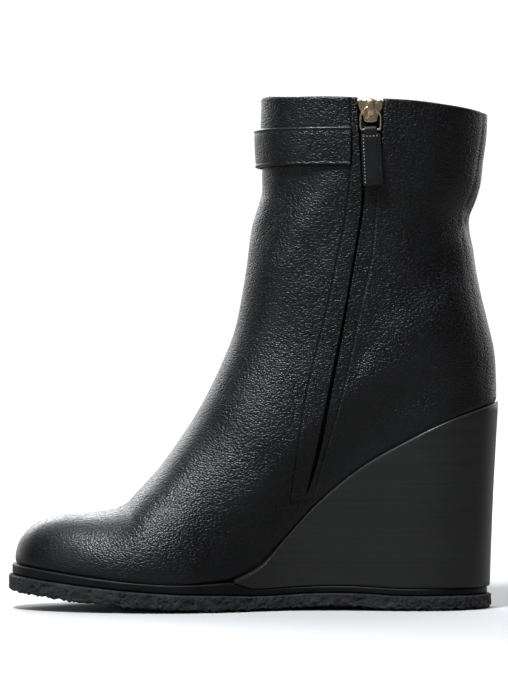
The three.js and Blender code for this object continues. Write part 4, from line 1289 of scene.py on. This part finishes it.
# Crumbs and tears of the crepe, and layers of the wedge: cell and height in mm, and seed
CREPE_CRUMBS = [(2.3, 0.42, 11), (1.1, 0.34, 12), (7.0, 0.25, 13)]
CREPE_TEARS = [(1.6, 1.7, 14), (4.2, 1.3, 15)]
CREPE_RUFFLE = (1.8, 0.6, 16)
THIN_LAYERS = [(1.7, 0.008, 21)]
BROAD_LAYERS = [(16.0, 0.06, 22)]

# Share of the tears that the crepe's lowest rings take, and how X, Y and Z count in the wedge's layers
TEAR_SHARES = [1.0, 0.85, 0.55, 0.3, 0.12]
THIN_STRETCH = np.array([0.04, 0.04, 1.0])
BROAD_STRETCH = np.array([0.5, 0.5, 1.0])


def rounded_levels(count, size, share):
    """Levels from 0 to 1 with how far each is drawn in, so that both rims are rounded."""
    return [(s, float(size * (1 - round_off(min(s, 1 - s) / share, 2.0)))) for s in np.linspace(0, 1, count)]


def sole_ring(inset, height, stations):
    """One level of a sole layer: the inner edge from toe to heel, then the outer edge back."""
    turn = (1 - np.cos(np.linspace(0, math.pi, stations + 1))) / 2
    start = SOLE_FRONT + inset
    end = SOLE_BACK - inset
    x = mix(start, end, turn)
    inner, outer = plan_edge(x, start, end, inset, sole_inner, sole_outer)
    z = height(x)
    near = np.stack([x, inner, z], -1)
    far = np.stack([x, outer, z], -1)[::-1]
    return np.concatenate([near, far])


def stacked(rings):
    """Closed rings one above the other, with flat strips over the first and the last."""
    rings = np.asarray(rings)
    levels, count = rings.shape[:2]
    quads = [grid_quads(levels, count, closed=True)]
    i = np.arange(count // 2 - 1)
    lid = np.column_stack([i, count - 1 - i, count - 2 - i, i + 1])
    top = (levels - 1) * count
    quads.append(lid)
    quads.append(lid[:, ::-1] + top)
    return rings.reshape(-1, 3), np.concatenate(quads)


def outward_in_plan(rings):
    """Level outward normals of stacked rings, from the differences along each ring."""
    along = np.roll(rings, -1, 1) - np.roll(rings, 1, 1)
    normal = unit(np.stack([along[..., 1], -along[..., 0], np.zeros_like(along[..., 0])], -1))
    middle = rings.mean(1, keepdims=True)
    return normal * np.sign(np.sum(normal * (rings - middle), axis=(1, 2), keepdims=True))


def build_outsole():
    """Crepe outsole: a stack of rings, torn by noise along its side and at its rims."""
    side = [
        sole_ring(drawn_in, lambda x, s=level: mix(sole_bottom(x), crepe_top(x), s), CREPE_STATIONS)
        for level, drawn_in in rounded_levels(17, CREPE_ROUND, 0.12)
    ]
    flat_low = sole_ring(RECESS_INSET, sole_bottom, CREPE_STATIONS)
    inner_low = sole_ring(RIM_WIDTH, lambda x: sole_bottom(x) + RECESS_DEPTH, CREPE_STATIONS)
    inner_high = sole_ring(RIM_WIDTH, crepe_top, CREPE_STATIONS)
    rings = np.stack([flat_low, inner_low, *side, inner_high])
    out = crumbled(rings, CREPE_CRUMBS) - CREPE_DRAWN_IN
    out[[0, 1, -1]] = 0.0
    rings = rings + outward_in_plan(rings) * out[..., None]
    torn = sum(np.abs(lattice_noise(rings, cell, seed)) * height for cell, height, seed in CREPE_TEARS)
    low = np.zeros((len(rings), 1))
    low[2:2 + len(TEAR_SHARES), 0] = TEAR_SHARES
    rings[..., 2] += torn * low
    cell, height, seed = CREPE_RUFFLE
    rings[-2, :, 2] -= (np.abs(lattice_noise(rings, cell, seed)) * height)[-2]
    points, quads = stacked(rings)
    put_mesh("crepe_outsole", points, quads, [], crepe, "boot", ["outsole"])


def build_midsole():
    """Midsole band: rings with softly rounded rims."""
    def floor(x):
        """Underside of the band, clear of the crepe."""
        return crepe_top(x) + CLEARANCE

    side = [
        sole_ring(MIDSOLE_EDGE + drawn_in, lambda x, s=level: mix(floor(x), midsole_top(x), s),
                  MIDSOLE_STATIONS)
        for level, drawn_in in rounded_levels(9, MIDSOLE_ROUND, 0.2)
    ]
    low = sole_ring(MIDSOLE_EDGE + RIM_WIDTH, floor, MIDSOLE_STATIONS)
    high = sole_ring(MIDSOLE_EDGE + RIM_WIDTH, midsole_top, MIDSOLE_STATIONS)
    points, quads = stacked(np.stack([low, *side, high]))
    put_mesh("midsole_band", points, quads, [], midsole_paint, "boot", ["midsole"])


def wedge_ring(share, inset, drop_share):
    """One level of the wedge's side, as in the CAD part: from the midsole's edge up to the lip."""
    turn = (1 - np.cos(np.linspace(0, math.pi, WEDGE_STATIONS + 1))) / 2
    low_end = SOLE_BACK - MIDSOLE_EDGE * 0.3
    high_end = HEEL_BACK + HEEL_EDGE
    end = mix(low_end, high_end, share**1.3) - inset
    x = mix(place_along(WEDGE_START), end, turn)
    low_inner, low_outer = plan_edge(x, SOLE_FRONT + MIDSOLE_EDGE, end, MIDSOLE_EDGE, sole_inner, sole_outer)
    high_inner, high_outer = plan_edge(x, TOE_TIP, end, -WEDGE_LIP, upper_inner, upper_outer)
    under_inner, under_outer = plan_edge(x, TOE_TIP, HEEL_BACK, 0, upper_inner, upper_outer)
    bottom = midsole_top(x) + CLEARANCE
    top = feather_height(x) - SEAT_GAP
    tall = smooth((top - bottom) / (0.4 * HEEL_HEIGHT))
    lip_inner = mix(low_inner, high_inner, tall)
    lip_outer = mix(low_outer, high_outer, tall)
    ledge = np.maximum(0, under_inner - lip_inner - WEDGE_LIP)
    drop = np.minimum(WEDGE_LIP / 2 + LEDGE_SLOPE * ledge, 0.6 * (top - bottom)) * (1 - drop_share)
    inner = mix(low_inner, lip_inner, share) + inset
    outer = mix(low_outer, lip_outer, share) - inset
    inner = mix(inner, under_inner + WEDGE_LIP, drop_share)
    outer = mix(outer, under_outer - WEDGE_LIP, drop_share)
    z = mix(bottom, top - drop, share)
    return np.concatenate([np.stack([x, inner, z], -1), np.stack([x, outer, z], -1)[::-1]])


def build_wedge():
    """Stacked wedge: level rings with faint laminations, and a rounded lip round the upper."""
    shares = np.concatenate([[0.0, 0.004], np.linspace(0.012, 0.985, 74), [0.995, 1.0]])
    rims = np.interp(shares, [0.0, 0.012, 0.985, 1.0], [0.4, 0.0, 0.0, 0.3])
    rings = [wedge_ring(0.0, RIM_WIDTH, 0.0)]
    rings += [wedge_ring(share, rim, 0.0) for share, rim in zip(shares, rims)]
    rings += [wedge_ring(1.0, 0.3, drop) for drop in (0.4, 1.0)]
    rings = np.stack(rings)
    layers = crumbled(rings * THIN_STRETCH, THIN_LAYERS) + crumbled(rings * BROAD_STRETCH, BROAD_LAYERS)
    layers[:2] = 0.0
    layers[-3:] = 0.0
    rings = rings + outward_in_plan(rings) * layers[..., None]
    points, quads = stacked(rings)
    put_mesh("stacked_wedge", points, quads, [], wedge_stack, "boot", ["wedge"])


build_outsole()
build_midsole()
build_wedge()


# Strap

STRAP_COLUMNS = 300
STRAP_ROWS = 27
STRAP_ROUND = 1.1
STRAP_DENTS = [(14.0, 0.16, 31), (5.0, 0.03, 32)]

# The turned edge's bead and the pressed line beside it: height, place from the edge and width
STRAP_BEAD = (0.34, 0.8, 0.4)
STRAP_PRESS = (0.26, 1.9, 0.45)


def line_relief(away, line):
    """A narrow ridge (height, place, width): a bell curve of the distance from its place."""
    height, place, width = line
    return height * np.exp(-(((away - place) / width) ** 2))


def build_strap():
    """Folded strap round the front of the shaft: a padded band with turned edges."""
    top = BOOT_HEIGHT - STRAP_BELOW_COLLAR
    crowded = (1 - np.cos(np.linspace(0, math.pi, STRAP_ROWS))) / 2
    height_share = np.concatenate([[0.0], crowded, [1.0]])
    turns, shares = np.meshgrid(np.linspace(-1, 1, STRAP_COLUMNS + 1), height_share)
    z = top - STRAP_HEIGHT * (1 - shares)
    start_x = front_at_station(station_of(np.zeros_like(z), z))[..., 0]
    end_x = place_along(seam_front(slit_share(z))) - CLEARANCE
    depth = back_x(z) - start_x
    widest = np.arccos(1 - 2 * (end_x - start_x) / depth)
    angle = turns * widest

    def on_shaft(a):
        """Places on the shaft's outer face at angles round it."""
        x = start_x + depth * (1 - np.cos(a)) / 2
        middle, half = section_at(x, z)
        return np.stack([x, middle + np.where(a >= 0, -1.0, 1.0) * half, z], -1)

    base = on_shaft(angle)
    around = on_shaft(angle + 0.02) - on_shaft(angle - 0.02)
    normal = unit(np.stack([around[..., 1], -around[..., 0], np.zeros_like(z)], -1))
    normal *= np.sign(np.sum(normal[..., 0] * (base[..., 0] - 60)))
    nose = smooth(2.2 * (1 - np.abs(turns)))
    gap = CLEARANCE + STRAP_STANDOFF * nose
    thick = STRAP_THICKNESS * mix(0.55, 1.0, nose)
    edge = np.minimum(shares, 1 - shares) * STRAP_HEIGHT
    bead = line_relief(edge, STRAP_BEAD) - line_relief(edge, STRAP_PRESS)
    dent = crumbled(base, STRAP_DENTS) * smooth(edge / 3.0)
    out = gap + thick * (0.08 + 0.84 * round_off(edge / STRAP_ROUND, 2.0)) + bead + dent
    wave = 0.08 * np.sin(turns * 5.0) * (1 - shares) + 0.06 * np.sin(turns * 4.0 + 1.0) * shares
    front_face = base + normal * out[..., None]
    front_face[..., 2] += wave
    back_face = base + normal * gap[..., None]
    back_face[..., 2] += wave
    rows, count = shares.shape
    points = np.concatenate([front_face, back_face[::-1]], 0).transpose(1, 0, 2)
    sides = points.shape[1]
    quads = grid_quads(count, sides, closed=True)
    i = np.arange(rows - 1)
    cap = np.column_stack([i, i + 1, sides - 2 - i, sides - 1 - i])
    last = (count - 1) * sides
    quads = np.concatenate([quads, cap, cap[:, ::-1] + last])
    grain = smooth(edge / 2.4) * 0.8 + 0.2
    grain = np.concatenate([grain, grain[::-1]], 0).T
    put_mesh("folded_strap", points, quads, [], strap_leather, "boot", ["strap"],
             {"grain": grain})


build_strap()


# Lining

LINING_COLUMNS = 240
LINING_RINGS = 150
LINING_COLUMN_STEP = 8
LINING_RING_STEP = 10
LINING_LOW = 0.012
LINING_HIGH = 0.972
LINING_BACK = 0.1
LINING_LEAST = 0.15
PILE_HEIGHT = 2.3
HALF_TAPE = 10.0
CURLS = [(2.2, 0.55, 41), (1.1, 0.35, 42), (6.0, 0.5, 43)]


def build_lining():
    """Dark pile inside the shaft and foot: a curly sheet between the two edges of the zip tape."""
    v = np.linspace(LINING_LOW, LINING_HIGH, LINING_RINGS + 1)
    front_angle = slit_angle(v, lambda z: slit_middle_x(np.maximum(z, SLIT_FOOT)) - HALF_TAPE)
    rear_angle = slit_angle(v, lambda z: slit_middle_x(np.maximum(z, SLIT_FOOT)) + HALF_TAPE)
    share = np.linspace(0, 1, LINING_COLUMNS + 1)
    angle = mix(rear_angle[:, None], front_angle[:, None] + 2 * math.pi, share[None])
    base = outer_point(angle, np.broadcast_to(v[:, None], angle.shape))
    normal = ring_normals(base, angle)
    ring = np.arange(LINING_RINGS + 1)
    column_edge = np.minimum(share, 1 - share)[None] * LINING_COLUMNS
    row_edge = np.minimum(ring, LINING_RINGS - ring)[:, None]
    swell = np.sqrt(np.clip(np.minimum(column_edge / 3.0, row_edge / 3.0), 0, 1))
    depth = WALL + LINING_LEAST + swell * (PILE_HEIGHT + crumbled(base, CURLS))
    face = base - normal * depth[..., None]
    row_marks = np.arange(0, LINING_RINGS + 1, LINING_RING_STEP)
    column_marks = np.arange(0, LINING_COLUMNS + 1, LINING_COLUMN_STEP)
    back = (base - normal * (WALL + LINING_BACK))[row_marks][:, column_marks]
    points, quads, triangles = two_skins(face, back, row_marks, column_marks)
    put_mesh("pile_lining", points, quads, triangles, pile, "boot")


build_lining()


# Zip

CHAIN_DEPTH = WALL + CLEARANCE
CHAIN_THICKNESS = 1.0
TOOTH_PITCH = 0.75
TOOTH_SIDES = 8
TOOTH_HALF_HEIGHT = 0.42
SLIDER_TOP = ZIP_TOP + 0.1 * SLIDER_LENGTH
SLIDER_MIDDLE = SLIDER_TOP - SLIDER_LENGTH / 2
SLIDER_X = float(slit_middle_x(SLIDER_MIDDLE))
WIRE = 1.0
SLIDER_FACE = -float(wall_point(np.array(SLIDER_X), np.array(SLIDER_MIDDLE),
                                np.array(CHAIN_DEPTH - CLEARANCE))[1])
SLIDER_THICKNESS = 2.6
SLIDER_WIDTH = 11.6
SLIDER_PLATE = 1.5
BRIDGE_POINTS = 41
BRIDGE_REACH = 4.2
RING_POINTS = 140
LOOP_POINTS = 31
PIN_HEIGHT = SLIDER_FACE + SLIDER_THICKNESS + CLEARANCE + WIRE / 2
PIN_Z = SLIDER_TOP - 0.38 * SLIDER_LENGTH
RING_LENGTH = 11.6
RING_WIDTH = 10.6
RING_NECK = 4.6
TAB_WIDTH = 9.5
TAB_LENGTH = 29.0
TAB_THICKNESS = 2.4
TAB_LOOP = 4.0
TAB_TILT = 2.5


def build_teeth():
    """Coil teeth along the slit, in turn from the left and the right."""
    foot = float(feather_height(slit_middle_x(SLIT_FOOT) + 9.0)) + 5.6
    z = np.arange(foot, SLIDER_TOP - SLIDER_LENGTH * 0.7, TOOTH_PITCH)
    side = np.where(np.arange(len(z)) % 2 == 0, -1.0, 1.0)
    x = slit_middle_x(z) + side * 0.75
    level = np.zeros(len(z))
    places = wall_point(x, z, level + CHAIN_DEPTH + CHAIN_THICKNESS / 2)
    out = face_normal(x, z, -1.0)
    above = wall_point(slit_middle_x(z + 0.5), z + 0.5, level)
    tangent = unit(above - wall_point(slit_middle_x(z - 0.5), z - 0.5, level))
    frames = np.stack([unit(np.cross(tangent, out)), tangent, out], 1)
    outline = superellipse(TOOTH_SIDES, 2.6, 1.55, 0.3)
    heights = [(-TOOTH_HALF_HEIGHT, 0.7), (-0.2, 1.0), (0.2, 1.0), (TOOTH_HALF_HEIGHT, 0.7)]
    rings = [np.column_stack([outline * scale, np.full(TOOTH_SIDES, h)]) for h, scale in heights]
    points = np.concatenate([*rings, [[0, 0, -TOOTH_HALF_HEIGHT]], [[0, 0, TOOTH_HALF_HEIGHT]]])
    quads = grid_quads(len(rings), TOOTH_SIDES, closed=True)
    j = np.arange(TOOTH_SIDES)
    after = (j + 1) % TOOTH_SIDES
    last = (len(rings) - 1) * TOOTH_SIDES
    foot_pole = np.full(TOOTH_SIDES, last + TOOTH_SIDES)
    triangles = np.concatenate([
        np.column_stack([foot_pole, after, j]),
        np.column_stack([foot_pole + 1, last + j, last + after]),
    ])
    points, quads, triangles = repeat(points, quads, triangles, places, frames)
    put_mesh("zip_teeth", points, quads, triangles, black_coil, "boot", ["zip_chain"])


def slider_place(points):
    """Puts points given as (across, up, out of the slider's back) at the slider's place."""
    return np.column_stack([
        SLIDER_X + points[:, 0], -SLIDER_FACE - points[:, 2], SLIDER_MIDDLE + points[:, 1],
    ])


def band_frame(path):
    """For a band bent in the plane across X: its side along X, and the lift square to side and path."""
    side = np.repeat([[1.0, 0.0, 0.0]], len(path), 0)
    return side, np.cross(side, unit(np.gradient(path, axis=0)))


def build_slider():
    """Gold slider: a crowned plate with two shoulders, a waist and a foot, and a bridge over the ring."""
    half = SLIDER_WIDTH / 2
    top = SLIDER_LENGTH / 2
    flank = [
        (0.3, 0.93), (0.6, 0.82), (0.86, 0.9), (1.0, 0.62), (0.95, 0.22), (0.76, -0.16), (0.6, -0.5),
        (0.52, -0.86), (0.26, -1.0),
    ]
    right = [(half * across, top * up) for across, up in flank]
    left = [(-across, up) for across, up in right[::-1]]
    outline = closed_curve([(0.0, top), *right, (0.0, -top), *left], 120)
    plate, quads = pillow(outline, SLIDER_PLATE, 0.55, 0.35)
    plate = plate + np.array([0, 0, SLIDER_THICKNESS - SLIDER_PLATE])
    back, back_quads = pillow(outline * 0.94, 0.9, 0.35)
    points = np.concatenate([plate, back])
    quads = np.concatenate([quads, back_quads + len(plate)])
    put_mesh("slider_plate", slider_place(points), quads, [], pale_gold, "boot",
             ["zip_slider"])
    turn = np.linspace(0, math.pi, BRIDGE_POINTS)
    rise = WIRE + 2 * CLEARANCE + 0.45
    along = BRIDGE_REACH * np.cos(turn) + (PIN_Z - SLIDER_MIDDLE)
    out = SLIDER_THICKNESS - 0.5 + (rise + 0.5) * np.sin(turn) ** 0.55
    path = np.stack([np.zeros(BRIDGE_POINTS), along, out], -1)
    side, lift = band_frame(path)
    width = 1.15 + 0.55 * np.sin(turn) + 0.15 * np.cos(turn)
    points, quads, triangles = sweep(path, side * width[:, None], lift * 0.5, superellipse(16, 3.0), False)
    put_mesh("slider_bridge", slider_place(points), quads, triangles, pale_gold, "boot")
    foot, foot_quads = pillow(superellipse(40, 3.2, 2.6, 0.75) + [0, -top * 0.74], 1.0, 0.35)
    foot = foot + np.array([0, 0, SLIDER_THICKNESS - 0.3])
    put_mesh("slider_foot", slider_place(foot), foot_quads, [], pale_gold, "boot")


def build_ring():
    """D-ring: a round wire on a closed curve, narrow under the bridge and wide in the tab."""
    neck = (RING_NECK - WIRE) / 2
    half = (RING_WIDTH - WIRE) / 2
    drop = RING_LENGTH - WIRE
    outline = closed_curve([
        (-neck * 0.7, 0), (neck * 0.7, 0), (neck + WIRE / 2, -0.6 * WIRE), (half * 0.96, -drop * 0.34),
        (half, -drop * 0.72), (half * 0.92, -drop * 0.97), (half * 0.6, -drop), (-half * 0.6, -drop),
        (-half * 0.92, -drop * 0.97), (-half, -drop * 0.72), (-half * 0.96, -drop * 0.34),
        (-neck - WIRE / 2, -0.6 * WIRE),
    ], RING_POINTS)
    level = np.full(RING_POINTS, -PIN_HEIGHT)
    path = np.column_stack([SLIDER_X + outline[:, 0], level, PIN_Z + outline[:, 1]])
    tangent = unit(np.roll(path, -1, 0) - np.roll(path, 1, 0))
    out = np.repeat([[0.0, -1.0, 0.0]], RING_POINTS, 0)
    across = unit(np.cross(tangent, out))
    points, quads, triangles = sweep(path, across * WIRE / 2, out * WIRE / 2, superellipse(14, 2.0), True)
    put_mesh("d_ring", points, quads, triangles, pale_gold, "pull", ["pull_ring"])


def tab_place(points):
    """Puts points given as (across, up from the ring's bar, out) on the hanging, tilted tab."""
    tilt = math.radians(TAB_TILT)
    x = points[:, 0] * math.cos(tilt) - points[:, 1] * math.sin(tilt)
    z = points[:, 0] * math.sin(tilt) + points[:, 1] * math.cos(tilt)
    bar_z = PIN_Z - (RING_LENGTH - WIRE)
    return np.column_stack([SLIDER_X + x, -PIN_HEIGHT - points[:, 2], bar_z + z])


# Thread on the tab's edges: distance from the edge, and the stitch's pitch, length, width and height
TAB_MARGIN = 1.15
TAB_STITCH = (1.55, 0.9, 0.55, 0.26)
TAB_LEATHER = 0.42


def build_tab_plate(middle, length):
    """The tab's plate: a rounded bar with a pressed line where it is sewn, on both faces."""
    half = TAB_THICKNESS / 2
    outline = superellipse(160, 16.0, TAB_WIDTH / 2, length / 2) + [0, middle]
    plate, quads = pillow(outline, TAB_THICKNESS, 0.45)
    plate = plate - np.array([0, 0, half])
    inset = np.minimum(TAB_WIDTH / 2 - np.abs(plate[:, 0]), length / 2 - np.abs(plate[:, 1] - middle))
    pressed = line_relief(inset, (0.2, TAB_MARGIN, 0.45)) * np.sign(plate[:, 2])
    plate[:, 2] -= pressed * (np.abs(plate[:, 2]) > half * 0.7)
    put_mesh("pull_tab_plate", tab_place(plate), quads, [], tab_leather, "pull", ["pull_tab"])


def build_tab_loop():
    """The narrower loop that the tab's leather makes round the ring's bar, with both ends in the plate."""
    radius = WIRE / 2 + CLEARANCE + TAB_LEATHER
    turn = np.linspace(-0.15 * math.pi, 1.15 * math.pi, LOOP_POINTS)
    over = np.stack([np.zeros(LOOP_POINTS), radius * np.sin(turn), radius * np.cos(turn)], -1)
    end = np.array([0.0, -TAB_LOOP / 2 - 2.0, TAB_THICKNESS / 2 * 0.55])
    legs = np.linspace(0, 1, 6)[:-1, None]
    front_leg = mix(end, over[0], legs)
    back_leg = mix(over[-1], end * [1, 1, -1], legs + 0.2)
    path = np.concatenate([front_leg, over, back_leg])
    side, lift = band_frame(path)
    profile = superellipse(24, 5.0)
    points, quads, triangles = sweep(path, side * TAB_WIDTH * 0.31, lift * TAB_LEATHER, profile, False)
    put_mesh("pull_tab_loop", tab_place(points), quads, triangles, tab_leather, "pull")


def build_tab():
    """Leather pull tab: a stitched plate below a loop round the ring's bar, with its rows of thread."""
    neck = TAB_LOOP / 2
    low = neck - TAB_LENGTH
    length = TAB_LENGTH - 2 * neck
    build_tab_plate(low + length / 2, length)
    build_tab_loop()
    left, right = -TAB_WIDTH / 2 + TAB_MARGIN, TAB_WIDTH / 2 - TAB_MARGIN
    roof, floor = -neck - TAB_MARGIN, low + TAB_MARGIN
    # The top and left rows of thread carry a painted highlight in grey; the right and lower rows keep the
    # thread's black.
    for name, line, thread in (
        ("top_left", [(right, roof), (left, roof), (left, floor)], thread_painted_highlight),
        ("right_low", [(right, roof), (right, floor), (left, floor)], dark_thread),
    ):
        corners = np.array([(a, b, TAB_THICKNESS / 2 - 0.1) for a, b in line])
        lengths = run_lengths(corners)
        placed = tab_place(read_at(np.linspace(0, lengths[-1], 60), lengths, corners))
        out = np.repeat([[0.0, -1.0, 0.0]], len(placed), 0)
        put_stitches("tab_stitches_" + name, placed, out, TAB_STITCH, thread, "pull", "tab_leather")


build_teeth()
build_slider()
build_ring()
build_tab()

# CAD nodes that stay as they are, with their materials
for node, material in (("zip_tape", tape_cloth), ("insole", pile)):
    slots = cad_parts[node].data.materials
    slots.clear()
    slots.append(material)


# Stitches

# Pitch, length, width and height of a stitch
SEAM_STITCH = (1.9, 1.15, 0.5, 0.2)
COLLAR_STITCH = (1.9, 1.2, 0.5, 0.18)
STITCH_LIFT = 0.1
COLLAR_LINE = 0.9925
COLLAR_POINTS = 400
COLLAR_GAP = 0.03


def surface_line(x, z):
    """Points and normals on the dressed inner side, raised by a little."""
    return wall_point(x, z, -(inner_relief(x, z) + STITCH_LIFT)), face_normal(x, z, -1.0)


def build_seam_stitches():
    """Rows of thread beside the zip, across its foot and below the collar."""
    z = np.linspace(FACING_FOOT + 1, BOOT_HEIGHT - 5.0, 300)
    x = np.linspace(FACING_CORNER, float(rear_seam_x(FACING_FOOT + 2.0)), 60)
    for name, line in (
        ("front_seam_stitches", surface_line(front_seam_x(z), z)),
        ("rear_seam_stitches", surface_line(rear_seam_x(z), z)),
        ("zip_foot_stitches", surface_line(x, FACING_FOOT + FOOT_SLOPE * (x - FACING_CORNER))),
    ):
        put_stitches(name, *line, SEAM_STITCH, dark_thread, "boot", "upper_leather")
    v = np.full(COLLAR_POINTS, COLLAR_LINE)
    start = slit_angle(v[:1], slit_rear_x)[0] + COLLAR_GAP
    end = slit_angle(v[:1], slit_front_x)[0] - COLLAR_GAP + 2 * math.pi
    line = outer_point(np.linspace(start, end, COLLAR_POINTS), v)
    around = np.gradient(line, axis=0)
    normal = unit(np.stack([around[:, 1], -around[:, 0], np.zeros(COLLAR_POINTS)], -1))
    normal *= np.sign(np.sum(normal[:, 1] * line[:, 1]))
    put_stitches("collar_stitches", line, normal, COLLAR_STITCH, dark_thread, "boot", "upper_leather")


build_seam_stitches()


# Floor, light and camera

FLOOR_HALF = 9.0
FLOOR_DARK = 0.72
FLOOR_LIGHT = 0.74
BOUNCE = 0.2
GLOW_START = 0.2
GLOW_END = 1.6
GLOW = 0.8
SEEN_SURROUND = 1.1
PANEL_COLOUR = (0.93, 0.96, 1.0)

# Brightness of the surround behind, in front and overhead: the direction's axis, from where to where
# along it, and the brightness at both
SURROUND = [("Y", 0.1, 0.8, 0.02, 1.6), ("Y", -1.0, -0.6, 0.09, 0.0), ("Z", 0.55, 0.95, 0.0, 0.3)]

# Soft panels: name, place and target, width and height, all in metres, and watts
PANELS = [
    ("key_panel", (-1.25, -1.0, 0.8), (0.0, 0.0, 0.12), (0.5, 1.1), 2.2),
    ("top_panel", (-0.35, -0.6, 1.35), (-0.05, 0.0, 0.05), (0.3, 0.3), 23.0),
    ("back_panel", (-0.4, 1.3, 0.8), (0.0, 0.0, 0.08), (1.2, 0.5), 11.0),
]


def grey(value):
    """A grey colour."""
    return (value, value, value, 1)


def build_floor():
    """A pale level floor that glows farther out.

    It throws only part of its light back, so that the black leather keeps its depth.
    """
    mesh = bpy.data.meshes.new("studio_floor")
    half = FLOOR_HALF
    corners = [(-half, -half, 0), (half, -half, 0), (half, half, 0), (-half, half, 0)]
    mesh.from_pydata(corners, [], [(0, 1, 2, 3)])
    floor = bpy.data.objects.new("studio_floor", mesh)
    bpy.context.scene.collection.objects.link(floor)
    material, tree, shader, place = start_material("pale_floor")
    shade = tint(tree, noise(tree, place, 6.0, 2.0)["Fac"], grey(FLOOR_DARK), grey(FLOOR_LIGHT))
    seen = add(tree, "ShaderNodeLightPath").outputs["Is Camera Ray"]
    away = add(tree, "ShaderNodeVectorMath", {0: place}, operation="LENGTH").outputs["Value"]
    glow = math_node(tree, "MULTIPLY", spread(tree, away, GLOW_START, GLOW_END, 0.0, GLOW), seen)
    feed(tree, shader, {
        "Base Color": tint(tree, seen, grey(BOUNCE), shade),
        "Roughness": 0.9,
        "Specular IOR Level": 0.1,
        "Emission Color": tint(tree, glow, grey(0), grey(1)),
        "Emission Strength": 1.0,
    })
    mesh.materials.append(material)


def build_surround():
    """A surround that is bright behind and overhead and dim in front, and white where it is seen."""
    world = bpy.data.worlds.new("studio_surround")
    world.use_nodes = True
    bpy.context.scene.world = world
    tree = world.node_tree
    direction = add(tree, "ShaderNodeTexCoord").outputs["Generated"]
    parts = add(tree, "ShaderNodeSeparateXYZ", {"Vector": direction}).outputs
    behind, ahead, overhead = (spread(tree, parts[axis], *span) for axis, *span in SURROUND)
    total = math_node(tree, "ADD", math_node(tree, "ADD", behind, ahead), overhead)
    seen = add(tree, "ShaderNodeLightPath").outputs["Is Camera Ray"]
    strength = add(tree, "ShaderNodeMix", {"Factor": seen, "A": total, "B": SEEN_SURROUND},
                   data_type="FLOAT")
    feed(tree, tree.nodes["Background"], {"Color": grey(1), "Strength": strength.outputs["Result"]})
    bpy.context.scene.view_settings.view_transform = "Standard"


def add_panel(name, place, target, size, power):
    """A soft rectangular panel of light that faces a point."""
    light = bpy.data.lights.new(name, "AREA")
    light.shape = "RECTANGLE"
    light.size, light.size_y = size
    light.energy = power
    light.color = PANEL_COLOUR
    lamp = bpy.data.objects.new(name, light)
    bpy.context.scene.collection.objects.link(lamp)
    lamp.location = place
    away = np.array(target) - np.array(place)
    yaw = math.atan2(away[0], -away[1])
    pitch = math.atan2(math.hypot(away[0], away[1]), -away[2])
    lamp.rotation_euler = (pitch, 0.0, yaw + math.pi)


CAMERA_DISTANCE = 1.7
CAMERA_HEIGHT = 0.125
MM_PER_PIXEL = 0.485
PHOTO_WIDTH = 508
PHOTO_HEIGHT = 678
MIDDLE_PIXEL = 253.5
HORIZON_PIXEL = 349.3


def build_camera():
    """Level camera square to the inner side; the shift lifts the frame over the low horizon."""
    camera = bpy.data.cameras.new("photo_camera")
    camera.sensor_width = 36.0
    frame_height = PHOTO_HEIGHT * MM_PER_PIXEL * MM
    camera.lens = camera.sensor_width * CAMERA_DISTANCE / frame_height
    camera.shift_y = (HORIZON_PIXEL - PHOTO_HEIGHT / 2) / PHOTO_HEIGHT
    camera.clip_start = 0.05
    camera.clip_end = 30.0
    holder = bpy.data.objects.new("photo_camera", camera)
    bpy.context.scene.collection.objects.link(holder)
    offset = (PHOTO_WIDTH / 2 - MIDDLE_PIXEL) * MM_PER_PIXEL * MM
    holder.location = (offset, -CAMERA_DISTANCE, CAMERA_HEIGHT)
    holder.rotation_euler = (math.pi / 2, 0.0, 0.0)
    bpy.context.scene.camera = holder


build_floor()
build_surround()
for panel in PANELS:
    add_panel(*panel)
build_camera()
